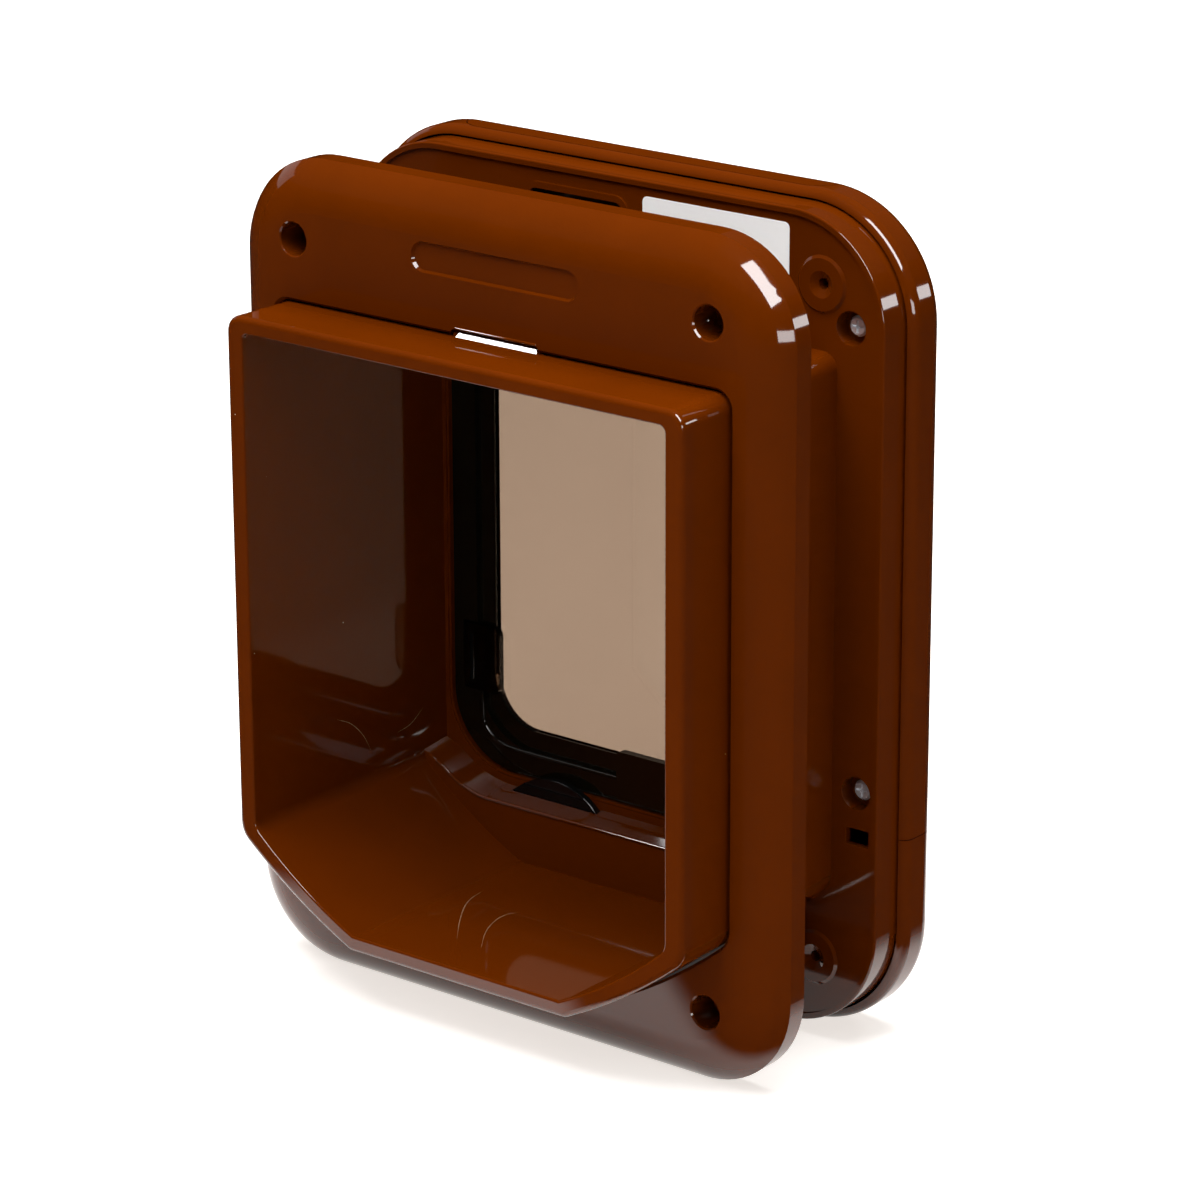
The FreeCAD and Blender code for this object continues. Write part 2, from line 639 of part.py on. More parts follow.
def front_shell():
    """Door-side shell: rimmed face, bosses and screw cups, and the recess with the flap opening."""
    depth = FRONT_SHELL_DEPTH + SHELL_OVERLAP
    blank = front_blank(0, Y_UNIT, depth)
    blank = blank.makeFillet(FACE_EDGE_ROUND, edges_at_y(blank, Y_UNIT))
    shell = blank.cut(front_blank(SHELL_WALL, Y_UNIT + SHELL_WALL + FACE_RIM_HEIGHT, depth))
    shell = shell.cut(front_blank(FACE_RIM_WIDTH, Y_UNIT, FACE_RIM_HEIGHT))
    for x, z in screw_points():
        shell = shell.fuse(rod(SCREW_CUP_R + SCREW_CUP_WALL, SCREW_CUP_DEPTH + SCREW_CUP_WALL,
                               x, Y_UNIT + FACE_RIM_HEIGHT, z))
    for x, z in fixing_points():
        ring = Part.makeCone(BOSS_RADIUS - BOSS_BEVEL, BOSS_RADIUS, BOSS_HEIGHT,
                             vec(x, Y_UNIT + FACE_RIM_HEIGHT - BOSS_HEIGHT, z), vec(0, 1, 0))
        shell = shell.fuse(ring)
        shell = shell.fuse(rod(BOSS_POST_R, BOSS_HOLE_DEPTH + 1, x, Y_UNIT + FACE_RIM_HEIGHT, z))
    slot_rim = rounded_prism(SLOT_CENTRE_X - SLOT_HALF, SLOT_CENTRE_X + SLOT_HALF, SLOT_TOP - SLOT_HEIGHT,
                             SLOT_TOP, SLOT_CORNER, SLOT_CORNER,
                             Y_UNIT + FACE_RIM_HEIGHT - SLOT_RIM_HEIGHT, SLOT_RIM_HEIGHT + 1)
    shell = shell.fuse(slot_rim)
    clear = SLEEVE_STEP + SLEEVE_WALL + RECESS_WALL / 2
    shell = shell.cut(tunnel_prism(clear, Y_UNIT - 1, FRONT_SHELL_DEPTH + 2)).fuse(recess_body())
    shell = shell.cut(face_holes()).cut(lock_slot()).cut(latch_slot())
    boss_room = box(-UNIT_WIDTH, UNIT_WIDTH, Y_UNIT, Y_BACK - REAR_WALL - SEAM_GAP, 0, UNIT_HEIGHT)
    for sign in (-1, 1):
        start = sign * (OPENING_HALF + JAMB_WALL / 2)
        boss = Part.makeCylinder(AXLE_BOSS_R, AXLE_SEAT, vec(start, Y_FLAP, HINGE_Z), vec(sign, 0, 0))
        shell = shell.fuse(boss.common(boss_room))
    length = 2 * (OPENING_HALF + AXLE_SEAT)
    axle_hole = Part.makeCylinder(AXLE_R, length, vec(-length / 2, Y_FLAP, HINGE_Z), vec(1, 0, 0))
    return shell.cut(axle_hole).removeSplitter()


def face_holes():
    """All that is cut through the door-side face: cups, pilot holes, the slot and the clip windows."""
    cuts = []
    deep = Y_UNIT + FACE_RIM_HEIGHT
    for x, z in screw_points():
        cuts.append(rod(SCREW_CUP_R, SCREW_CUP_DEPTH + 1, x, deep - 1, z))
        cuts.append(rod(SCREW_SHANK_R + SCREW_FIT, SCREW_CUP_DEPTH + SCREW_CUP_WALL + 2, x, deep - 1, z))
    for x, z in fixing_points():
        top = deep - BOSS_HEIGHT
        dish = Part.makeCone(BOSS_DISH_R, BOSS_HOLE_R, BOSS_DISH_DEPTH, vec(x, top, z), vec(0, 1, 0))
        cuts.append(dish)
        cuts.append(rod(BOSS_HOLE_R, BOSS_HOLE_DEPTH, x, top, z))
    r = SLOT_CORNER - SLOT_RIM
    cuts.append(rounded_prism(SLOT_CENTRE_X - SLOT_HALF + SLOT_RIM, SLOT_CENTRE_X + SLOT_HALF - SLOT_RIM,
                              SLOT_TOP - SLOT_HEIGHT + SLOT_RIM, SLOT_TOP - SLOT_RIM, r, r,
                              Y_UNIT - 1, SHELL_WALL + 3))
    for sign in (-1, 1):
        cuts.append(box(sign * WINDOW_X - WINDOW_WIDTH / 2, sign * WINDOW_X + WINDOW_WIDTH / 2,
                        Y_UNIT - 1, Y_UNIT + SHELL_WALL + 2,
                        WINDOW_Z - WINDOW_HEIGHT / 2, WINDOW_Z + WINDOW_HEIGHT / 2))
    return Part.makeCompound(cuts)


def lock_slot():
    """Slot in the shelf that the lock's lobe turns in."""
    return rod(LOCK_LOBE_R + LOCK_SLOT_CLEARANCE, LOCK_DISC_THICKNESS + 2 * LOCK_SLOT_CLEARANCE, LOCK_X,
               Y_DISC - LOCK_SLOT_CLEARANCE, LOCK_Z)


def latch_slot():
    """Slot in the sill that the latch rises through, under the flap."""
    gap = LATCH_SLOT_CLEARANCE
    return box(LATCH_X - LATCH_WIDTH / 2 - gap, LATCH_X + LATCH_WIDTH / 2 + gap,
               Y_FLAP - LATCH_THICKNESS / 2 - gap, Y_FLAP + LATCH_THICKNESS / 2 + gap,
               OPENING_SILL - 2 * JAMB_WALL, OPENING_SILL + 1)


def rear_blank(inset, y, depth):
    half = UNIT_WIDTH / 2 - inset
    r = UNIT_CORNER - inset
    return rounded_prism(-half, half, inset, UNIT_HEIGHT - inset, r, r, y, depth)


def rear_body():
    """Whole room-side shell, before the lower cover and the battery cover are parted from it."""
    blank = rear_blank(0, Y_SEAM, REAR_SHELL_DEPTH)
    blank = blank.makeFillet(REAR_BACK_ROUND, edges_at_y(blank, Y_BACK))
    blank = blank.makeFillet(REAR_FRONT_ROUND, edges_at_y(blank, Y_SEAM))
    lip = rear_blank(SHELL_STEP - SHELL_SEAM, Y_SEAM - 1, REAR_LIP_DEPTH + 1)
    hollow = rear_blank(REAR_WALL, Y_SEAM + REAR_LIP_DEPTH, REAR_SHELL_DEPTH - REAR_LIP_DEPTH - REAR_WALL)
    hollow = hollow.makeChamfer(REAR_BACK_ROUND - REAR_WALL, edges_at_y(hollow, Y_BACK - REAR_WALL))
    opening = opening_prism(JAMB_WALL + SEAM_GAP, Y_SEAM - 1, REAR_SHELL_DEPTH + 2)
    return blank.cut(lip).cut(hollow).cut(opening)


def cover_zone(gap):
    """The space that the battery cover takes in the room-side shell, less a gap."""
    front = Y_SEAM + COVER_FRONT_FROM_SEAM + gap
    zone = box(-COVER_HALF + gap, COVER_HALF - gap, front, Y_BACK + 1, COVER_BOTTOM + gap, UNIT_HEIGHT + 1)
    corners = [e for e in edges_at_y(zone, front) if e.BoundBox.ZLength > 1]
    return zone.makeFillet(COVER_CORNER - gap, corners)


def rear_shell():
    """Room-side shell above the lower seam, with the screw posts and the control holes."""
    shell = rear_body().cut(cover_zone(0))
    shell = shell.cut(box(-UNIT_WIDTH, UNIT_WIDTH, Y_SEAM - 1, Y_BACK + 1, -1, LOWER_SEAM_Z))
    post_start = Y_UNIT + FACE_RIM_HEIGHT + SCREW_CUP_DEPTH + SCREW_CUP_WALL + SEAM_GAP
    for x, z in screw_points():
        post = rod(POST_R, Y_BACK - REAR_WALL / 2 - post_start, x, post_start, z)
        shell = shell.fuse(post)
    for x, z in screw_points():
        shell = shell.cut(rod(SCREW_SHANK_R + SCREW_FIT, SCREW_LENGTH, x, post_start - 1, z))
    shell = shell.cut(rod(BUTTON_R + BUTTON_FIT, REAR_WALL + 2, BUTTON_X, Y_BACK - REAR_WALL - 1, BUTTON_Z))
    shell = shell.cut(rod(LAMP_R, REAR_WALL + 2, LAMP_X, Y_BACK - REAR_WALL - 1, BUTTON_Z))
    return shell.removeSplitter()


def lower_cover():
    """Part of the room-side shell below the seam, dished for the lock knob."""
    keep = box(-UNIT_WIDTH, UNIT_WIDTH, Y_SEAM - 1, Y_BACK + 1, -1, LOWER_SEAM_Z - SEAM_GAP)
    cover = rear_body().common(keep)
    cover = cover.cut(rod(KNOB_R + KNOB_GAP, KNOB_DISH_DEPTH + 1, LOCK_X, Y_BACK - KNOB_DISH_DEPTH, LOCK_Z))
    cover = cover.cut(rod(SPINDLE_R + SPINDLE_FIT, REAR_WALL + 2, LOCK_X, Y_BACK - REAR_WALL - 1, LOCK_Z))
    return cover.removeSplitter()


def battery_cover():
    """Lift-off cover over the top edge of the room-side shell."""
    return rear_body().common(cover_zone(COVER_GAP)).removeSplitter()


def rim_opening(offset, y, depth):
    """Outline of the flap's window, moved outwards by an offset."""
    half = FLAP_HALF - RIM_SIDE + offset
    return rounded_prism(-half, half, FLAP_BOTTOM + RIM_BOTTOM - offset, HINGE_Z - RIM_TOP + offset,
                         RIM_CORNER + offset, RIM_CORNER / 2 + offset, y, depth)


def flap_rim():
    """Thick smoked rim of the flap, thinner towards the pane, with the hinge barrel along its top."""
    rim = rounded_prism(-FLAP_HALF, FLAP_HALF, FLAP_BOTTOM, HINGE_Z, FLAP_CORNER, FLAP_TOP_CORNER,
                        Y_FLAP_FRONT, FLAP_THICKNESS)
    barrel = Part.makeCylinder(FLAP_THICKNESS / 2, 2 * FLAP_HALF, vec(-FLAP_HALF, Y_FLAP, HINGE_Z),
                               vec(1, 0, 0))
    rim = rim.fuse(barrel)
    rim = rim.cut(rim_opening(0, Y_FLAP_FRONT - 1, FLAP_THICKNESS + 2))
    rim = rim.cut(rim_opening(RIM_BAND, Y_FLAP_FRONT - 1, RIM_BAND_CUT + 1))
    rim = rim.cut(rim_opening(RIM_BAND, Y_FLAP_BACK - RIM_BAND_CUT, RIM_BAND_CUT + 1))
    bore = Part.makeCylinder(AXLE_R + AXLE_FIT, 2 * FLAP_HALF + 2, vec(-FLAP_HALF - 1, Y_FLAP, HINGE_Z),
                             vec(1, 0, 0))
    rim = rim.cut(bore).cut(magnet_solid()).cut(side_clip_zone()).cut(latch_pocket())
    return rim.removeSplitter()


def latch_pocket():
    """Pocket in the flap's lower edge that the raised latch stands in."""
    gap = LATCH_POCKET_CLEARANCE
    top = OPENING_SILL - LATCH_BELOW_SILL + LATCH_LIFT + gap
    return box(LATCH_X - LATCH_WIDTH / 2 - gap, LATCH_X + LATCH_WIDTH / 2 + gap,
               Y_FLAP - LATCH_THICKNESS / 2 - gap, Y_FLAP + LATCH_THICKNESS / 2 + gap,
               FLAP_BOTTOM - 1, top)


def flap_pane():
    return rim_opening(0, Y_FLAP - PANE_THICKNESS / 2, PANE_THICKNESS)


def flap_axle():
    """Steel axle, held in the jambs at both ends."""
    length = 2 * (OPENING_HALF + AXLE_SEAT - AXLE_END_GAP)
    return Part.makeCylinder(AXLE_R, length, vec(-length / 2, Y_FLAP, HINGE_Z), vec(1, 0, 0))


def magnet_solid():
    """Bar magnet let into the flap's lower edge, from its front face."""
    low = FLAP_BOTTOM + MAGNET_UP
    return box(-MAGNET_WIDTH / 2, MAGNET_WIDTH / 2, Y_FLAP_FRONT, Y_FLAP_FRONT + MAGNET_DEPTH,
               low, low + MAGNET_HEIGHT)


def magnet_holder():
    """Cap that closes the magnet in, snapped on the front of the flap's lower rim."""
    half = MAGNET_HOLDER_WIDTH / 2
    low = FLAP_BOTTOM + MAGNET_HOLDER_FROM_EDGE
    band = FLAP_BOTTOM + RIM_BOTTOM - RIM_BAND
    high = FLAP_BOTTOM + RIM_BOTTOM
    pane_front = Y_FLAP - PANE_THICKNESS / 2
    corner = MAGNET_HOLDER_CORNER
    face = rounded_prism(-half, half, low, high, corner, corner, Y_FLAP_FRONT - MAGNET_HOLDER_PROUD,
                         MAGNET_HOLDER_PROUD)
    step = rounded_prism(-half, half, band, high, corner, corner, Y_FLAP_FRONT, RIM_BAND_CUT)
    hook = rounded_prism(-half, half, high - MAGNET_HOLDER_LAP, high + MAGNET_HOLDER_UP, corner,
                         MAGNET_HOLDER_HOOK_CORNER, Y_FLAP_FRONT - MAGNET_HOLDER_PROUD,
                         pane_front - Y_FLAP_FRONT + MAGNET_HOLDER_PROUD)
    hook = hook.common(box(-half, half, Y_FLAP_FRONT - 1, pane_front, high, high + MAGNET_HOLDER_UP)
                       .fuse(box(-half, half, Y_FLAP_FRONT - 1, Y_FLAP_FRONT, low, high)))
    return face.fuse(step).fuse(hook).removeSplitter()


def side_clip_zone():
    """Pocket in the side rim that the clip sits in."""
    return box(-SIDE_CLIP_OUTER, RIM_SIDE - FLAP_HALF + 1, Y_FLAP_FRONT - 1, Y_FLAP_FRONT + RIM_BAND_CUT,
               SIDE_CLIP_LOW, SIDE_CLIP_LOW + SIDE_CLIP_HEIGHT)


def side_clip():
    """Clear clip on the side rim that carries the sensor magnet."""
    low = SIDE_CLIP_LOW + SIDE_CLIP_GAP
    high = SIDE_CLIP_LOW + SIDE_CLIP_HEIGHT - SIDE_CLIP_GAP
    left = SIDE_CLIP_GAP - SIDE_CLIP_OUTER
    inner = RIM_SIDE - FLAP_HALF + SIDE_CLIP_INWARD
    front = Y_FLAP_FRONT - SIDE_CLIP_PROUD
    plate = rounded_prism(left, inner, low, high, SIDE_CLIP_CORNER, SIDE_CLIP_CORNER,
                          front, SIDE_CLIP_PROUD + RIM_BAND_CUT)
    roll = Part.makeCylinder(SIDE_CLIP_ROLL_R, high - low - 2 * SIDE_CLIP_ROLL_END,
                             vec(left + 2 * SIDE_CLIP_ROLL_R, front + SIDE_CLIP_ROLL_SUNK,
                                 low + SIDE_CLIP_ROLL_END), vec(0, 0, 1))
    keep = box(left, inner, front - 1, Y_FLAP_FRONT + RIM_BAND_CUT, low, high)
    return plate.fuse(roll).common(keep).removeSplitter()


def lock_disc():
    """Stop disc: a round hub with one lobe of full radius, pointing up."""
    hub = rod(LOCK_DISC_R, LOCK_DISC_THICKNESS, LOCK_X, Y_DISC, LOCK_Z)
    lobe = rod(LOCK_LOBE_R, LOCK_DISC_THICKNESS, LOCK_X, Y_DISC, LOCK_Z)
    half_sweep = math.radians(LOCK_LOBE_SWEEP / 2)
    reach = 2 * LOCK_LOBE_R
    side_x = reach * math.sin(half_sweep)
    side_z = reach * math.cos(half_sweep)
    corners = [vec(LOCK_X, Y_DISC, LOCK_Z), vec(LOCK_X + side_x, Y_DISC, LOCK_Z + side_z),
               vec(LOCK_X - side_x, Y_DISC, LOCK_Z + side_z), vec(LOCK_X, Y_DISC, LOCK_Z)]
    wedge = prism(Part.makePolygon(corners), LOCK_DISC_THICKNESS)
    disc = hub.fuse(lobe.common(wedge)).removeSplitter()
    return disc.cut(rod(SPINDLE_R, LOCK_DISC_THICKNESS + 2, LOCK_X, Y_DISC - 1, LOCK_Z))


def lock_spindle():
    """Spindle through the disc into the knob."""
    start = Y_DISC - SPINDLE_PROUD
    return rod(SPINDLE_R, Y_BACK + KNOB_BASE / 2 - start, LOCK_X, start, LOCK_Z)


def lock_knob():
    """Round knob with a finger grip across it."""
    start = Y_BACK - KNOB_DISH_DEPTH + KNOB_GAP
    end = Y_BACK + KNOB_PROJECTION
    base = rod(KNOB_R, KNOB_BASE, LOCK_X, start, LOCK_Z)
    base = base.makeChamfer(KNOB_BASE / 2, edges_at_y(base, start + KNOB_BASE))
    reach = KNOB_R - KNOB_GRIP_SHORT
    grip = rounded_prism(LOCK_X - KNOB_GRIP_HALF, LOCK_X + KNOB_GRIP_HALF, LOCK_Z - reach, LOCK_Z + reach,
                         KNOB_GRIP_CORNER, KNOB_GRIP_CORNER, start, end - start)
    grip = grip.makeChamfer(KNOB_GRIP_BEVEL, edges_at_y(grip, end))
    knob = base.fuse(grip)
    return knob.cut(rod(SPINDLE_R, Y_BACK + KNOB_BASE / 2 - start, LOCK_X, start, LOCK_Z)).removeSplitter()


def latch_bolt():
    """Flat latch under the flap's lower edge, with a foot that reaches over the plunger."""
    top = OPENING_SILL - LATCH_BELOW_SILL
    left = LATCH_X - LATCH_WIDTH / 2
    right = LATCH_X + LATCH_WIDTH / 2
    bolt = box(left, right, Y_FLAP - LATCH_THICKNESS / 2, Y_FLAP + LATCH_THICKNESS / 2,
               top - LATCH_HEIGHT, top)
    foot = box(left, right, Y_PLUNGER - PLUNGER_R, Y_FLAP, top - LATCH_HEIGHT, top - LATCH_HEIGHT + LATCH_FOOT)
    return bolt.fuse(foot).removeSplitter()


def latch_solenoid():
    """Coil body under the latch, open at its top for the plunger."""
    body = box(LATCH_X - SOLENOID_WIDTH / 2, LATCH_X + SOLENOID_WIDTH / 2,
               Y_PLUNGER - SOLENOID_DEPTH / 2, Y_PLUNGER + SOLENOID_DEPTH / 2,
               SOLENOID_BASE_Z, SOLENOID_BASE_Z + SOLENOID_HEIGHT)
    body = body.makeFillet(SOLENOID_ROUND, [e for e in body.Edges if e.BoundBox.ZLength > 1])
    bore = Part.makeCylinder(PLUNGER_R + PLUNGER_FIT, SOLENOID_HEIGHT,
                             vec(LATCH_X, Y_PLUNGER, SOLENOID_BASE_Z + SOLENOID_FLOOR), vec(0, 0, 1))
    return body.cut(bore)


def latch_plunger():
    """Plunger from the coil up to the latch's foot."""
    foot = OPENING_SILL - LATCH_BELOW_SILL - LATCH_HEIGHT
    start = SOLENOID_BASE_Z + SOLENOID_FLOOR + PLUNGER_OFF_FLOOR
    return Part.makeCylinder(PLUNGER_R, foot - start, vec(LATCH_X, Y_PLUNGER, start), vec(0, 0, 1))


def case_screws():
    """Four pan-head screws in the cups of the door-side face."""
    seat = Y_UNIT + FACE_RIM_HEIGHT + SCREW_CUP_DEPTH
    screws = []
    for x, z in screw_points():
        head = rod(SCREW_HEAD_R, SCREW_HEAD_HEIGHT, x, seat - SCREW_HEAD_HEIGHT, z)
        head = head.makeChamfer(SCREW_HEAD_HEIGHT / 3, edges_at_y(head, seat - SCREW_HEAD_HEIGHT))
        for turn in (0, 90):
            blade = box(x - SCREW_CROSS_REACH, x + SCREW_CROSS_REACH, seat - SCREW_HEAD_HEIGHT - 1,
                        seat - SCREW_HEAD_HEIGHT / 2, z - SCREW_CROSS_HALF, z + SCREW_CROSS_HALF)
            blade.rotate(vec(x, 0, z), vec(0, 1, 0), turn)
            head = head.cut(blade)
        screws.append(head.fuse(rod(SCREW_SHANK_R, SCREW_LENGTH - SCREW_HEAD_HEIGHT, x, seat, z)))
    return Part.makeCompound(screws)


def program_button():
    """Push button through the room-side shell."""
    end = Y_BACK + BUTTON_PROUD
    cap = rod(BUTTON_R, BUTTON_LENGTH, BUTTON_X, end - BUTTON_LENGTH, BUTTON_Z)
    return cap.makeChamfer(BUTTON_BEVEL, edges_at_y(cap, end))


def lamp_lens():
    """Clear lens of the signal lamp."""
    lens = rod(LAMP_R, REAR_WALL + LAMP_PROUD, LAMP_X, Y_BACK - REAR_WALL, BUTTON_Z)
    return lens.makeChamfer(LAMP_PROUD / 2, edges_at_y(lens, Y_BACK + LAMP_PROUD))


def battery_cells():
    """Four round cells in two rows of two, end to end."""
    cells = []
    for z in CELL_ROWS_Z:
        for start in (-CELL_GAP / 2 - CELL_LENGTH - CELL_TIP, CELL_GAP / 2):
            body = Part.makeCylinder(CELL_R, CELL_LENGTH, vec(start, Y_CELL, z), vec(1, 0, 0))
            tip = Part.makeCylinder(CELL_TIP_R, CELL_TIP, vec(start + CELL_LENGTH, Y_CELL, z), vec(1, 0, 0))
            cells.append(body.fuse(tip))
    return Part.makeCompound(cells)


def tray_half():
    return CELL_GAP / 2 + CELL_LENGTH + CELL_TIP + 2 * CONTACT_THICKNESS + TRAY_CLEARANCE


def battery_tray():
    """Open tray with a cradle for each row of cells."""
    half = tray_half() + TRAY_WALL
    high = CELL_HIGH_Z + CELL_R + TRAY_CLEARANCE + TRAY_WALL
    front = Y_CELL - CELL_R - TRAY_CLEARANCE - TRAY_WALL
    end = Y_CELL + TRAY_PAST_MIDDLE
    block = box(-half, half, front, end, TRAY_LOW_Z, high)
    for z in CELL_ROWS_Z:
        cradle = Part.makeCylinder(CELL_R + TRAY_CLEARANCE, 2 * tray_half(), vec(-tray_half(), Y_CELL, z),
                                   vec(1, 0, 0))
        throat = box(-tray_half(), tray_half(), Y_CELL, end + 1, z - CELL_R - TRAY_CLEARANCE,
                     z + CELL_R + TRAY_CLEARANCE)
        block = block.cut(cradle).cut(throat)
    return block.removeSplitter()


def battery_contacts():
    """Four spring plates at the ends of the cells."""
    plates = []
    for z in CELL_ROWS_Z:
        for x in (-tray_half(), tray_half() - CONTACT_THICKNESS):
            plates.append(box(x, x + CONTACT_THICKNESS, Y_CELL - CONTACT_HALF_DEPTH,
                              Y_CELL + CONTACT_HALF_DEPTH, z - CONTACT_HALF_HEIGHT, z + CONTACT_HALF_HEIGHT))
    return Part.makeCompound(plates)


def circuit_board():
    """Board that stands on top of the recess, between the door-side face and the room-side shell."""
    y = Y_UNIT + BOARD_FROM_UNIT
    half = PASSAGE_HALF + SLEEVE_STEP + RECESS_WALL - BOARD_INSET
    return box(-half, half, y, y + BOARD_THICKNESS, BOARD_LOW_Z, TRAY_LOW_Z - BOARD_BELOW_TRAY)


NODES = {
    "outer_frame": outer_frame,
    "tunnel_liner": tunnel_liner,
    "tunnel_sleeve": tunnel_sleeve,
    "aerial_coil": aerial_coil,
    "front_shell": front_shell,
    "rear_shell": rear_shell,
    "lower_cover": lower_cover,
    "battery_cover": battery_cover,
    "case_screws": case_screws,
    "flap_rim": flap_rim,
    "flap_pane": flap_pane,
    "flap_axle": flap_axle,
    "flap_magnet": magnet_solid,
    "magnet_holder": magnet_holder,
    "side_clip": side_clip,
    "lock_disc": lock_disc,
    "lock_spindle": lock_spindle,
    "lock_knob": lock_knob,
    "latch_bolt": latch_bolt,
    "latch_plunger": latch_plunger,
    "latch_solenoid": latch_solenoid,
    "program_button": program_button,
    "lamp_lens": lamp_lens,
    "battery_cells": battery_cells,
    "battery_contacts": battery_contacts,
    "battery_tray": battery_tray,
    "circuit_board": circuit_board,
}


def main():
    os.makedirs("parts", exist_ok=True)
    for name, build in NODES.items():
        shape = build()
        shape.exportStep("parts/" + name + ".step")
        print(name, len(shape.Solids), shape.isValid(), round(shape.Volume, 1))


if __name__ == "__main__":
    main()
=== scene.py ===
import math

import bmesh
import bpy
from mathutils import Matrix, Vector


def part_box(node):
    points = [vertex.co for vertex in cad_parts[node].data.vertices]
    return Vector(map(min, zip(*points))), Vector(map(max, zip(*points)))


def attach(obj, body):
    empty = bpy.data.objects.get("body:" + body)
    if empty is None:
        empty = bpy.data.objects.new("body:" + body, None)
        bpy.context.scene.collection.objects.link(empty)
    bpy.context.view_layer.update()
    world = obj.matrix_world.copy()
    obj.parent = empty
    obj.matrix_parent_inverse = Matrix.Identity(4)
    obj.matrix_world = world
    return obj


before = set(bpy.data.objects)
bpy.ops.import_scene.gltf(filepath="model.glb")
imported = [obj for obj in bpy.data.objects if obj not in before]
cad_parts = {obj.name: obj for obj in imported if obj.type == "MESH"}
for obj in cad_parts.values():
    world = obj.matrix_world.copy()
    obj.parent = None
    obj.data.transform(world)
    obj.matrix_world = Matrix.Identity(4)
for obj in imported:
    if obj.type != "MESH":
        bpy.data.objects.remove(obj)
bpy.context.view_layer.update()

bl_info = {
    "name": "Cat flap looks",
    "version": (1, 0, 0),
    "blender": (4, 5, 0),
    "location": "3D View > Sidebar > Cat flap",
    "description": "Finishes, small pieces and studio for the tunnel cat flap",
    "category": "Object",
}

HOUSINGS = ("outer_frame", "tunnel_liner", "tunnel_sleeve", "front_shell", "rear_shell", "lower_cover",
            "battery_cover")
SMOKED_PIECES = ("flap_rim", "magnet_holder")
LOCK_PIECES = ("lock_disc", "lock_spindle", "lock_knob")
CATCH_PIECES = ("catch_ramp", "notch_bead", "rim_ridge", "lobe_edge", "shelf_edge")
GLINT_NODES = ("flap_rim", "magnet_holder", "side_clip", "lock_disc")

CAMERA_PLACE = (0.97874, -1.20517, 0.66221)
CAMERA_YAW = math.radians(38.63)
CAMERA_PITCH = math.radians(18.41)
CAMERA_ROLL = math.radians(0.18)
CAMERA_LENS_MM = 144.51

WHITE = (1.0, 1.0, 1.0, 1.0)
BLACK = (0.0, 0.0, 0.0, 1.0)
# Painted dark that the floor shows only in gloss, beyond its painted white patch
PAINTED_DARK_IN_GLOSS = (0.01, 0.01, 0.01, 1.0)
DUST_COLOUR = (0.62, 0.50, 0.40, 1.0)
PAPER_COLOUR = (0.94, 0.94, 0.93, 1.0)
SCUFF_COLOUR = (0.34, 0.21, 0.13, 1.0)

FLOOR_RADIUS = 8.0
FLOOR_SIDES = 96
BACKDROP_HEIGHT = 3.6
AIM_HEIGHT = 0.15
WORLD_STRENGTH = 0.03

# The floor's glow: its tint near the object, which is painted warm bounce light in the floor's shadow
# there, and the distances over which it turns to plain white
PAINTED_BOUNCE_TINT = (1.0, 0.95, 0.90)
GLOW_SPREAD = (0.5, 2.2)

# The floor's white patch that gloss mirrors is painted light. It fades out over these distances from the
# object's middle, towards the camera, towards the front, to the right and all round, and beyond it the
# floor is painted dark in gloss
PAINTED_PATCH_FRONT = (0.088, 0.100)
PAINTED_PATCH_NEAR = (0.130, 0.150)
PAINTED_PATCH_RIGHT = (0.130, 0.170)
PAINTED_PATCH_REACH = (0.20, 0.32)

# The label lies on the door-side face, this far behind the rim around it
FACE_BEHIND_RIM = 0.0009
LABEL_CORNER_STEPS = 6

# The catch on top of the tunnel: its sloped face from low front to high back, as (y, z), and the
# eased edge of the notch above it
CATCH_LEFT = -0.0168
CATCH_RIGHT = 0.0180
CATCH_SLOPE = ((-0.0356, 0.2427), (-0.0344, 0.2445))
NOTCH_EDGE = (-0.0357, 0.2459)
NOTCH_BEAD = 0.0005
RAMP_EASE = 0.6
RAMP_BEVEL = 0.08

# Eased edges that carry thin glints, as (x, z): the ridge round the flap's rim, the edge of the
# lock's lobe and the edge of the shelf under the flap. The ridge and the shelf are mirrored.
RIDGE_HALF = ((0.0, 0.0650), (0.0290, 0.0650), (0.0580, 0.0651), (0.0653, 0.0659), (0.0701, 0.0681),
              (0.0733, 0.0715), (0.0742, 0.0760), (0.0743, 0.0850))
SHELF_HALF = ((0.0, 0.0501), (0.0300, 0.0501), (0.0605, 0.0501), (0.0668, 0.0508), (0.0727, 0.0525),
              (0.0776, 0.0550), (0.0825, 0.0582), (0.0868, 0.0605))
LOBE_MIDDLE = (-0.0378, 0.0321)
LOBE_RADIUS = 0.0268
LOBE_ANGLES = (95, 85, 75, 65, 55, 42)
SHELF_FRONT = 0.0309
RIDGE_RADIUS = 0.0008
EDGE_RADIUS = 0.0006
TUBE_SIDES = 12
CURVE_STEPS = 6

# Fine scuffs inside the tunnel: on its floor as (x, y), and on its left wall as (y, z)
SLEEVE_SKIN = 0.0016
SCUFF_WIDTH = 0.00024
SCUFF_LIFT = 0.00004
FLOOR_SCUFFS = (
    ((-0.0169, -0.0385), (-0.0252, -0.0276), (-0.0333, -0.0153), (-0.0368, -0.0074), (-0.0380, 0.0001)),
    ((-0.0053, -0.0395), (-0.0132, -0.0275), (-0.0171, -0.0178), (-0.0176, -0.0112), (-0.0155, -0.0072)),
)
WALL_SCUFFS = (
    ((-0.0159, 0.0867), (-0.0086, 0.0831), (-0.0023, 0.0771), (0.0018, 0.0703)),
    ((0.0160, 0.0726), (0.0237, 0.0739), (0.0305, 0.0781)),
)

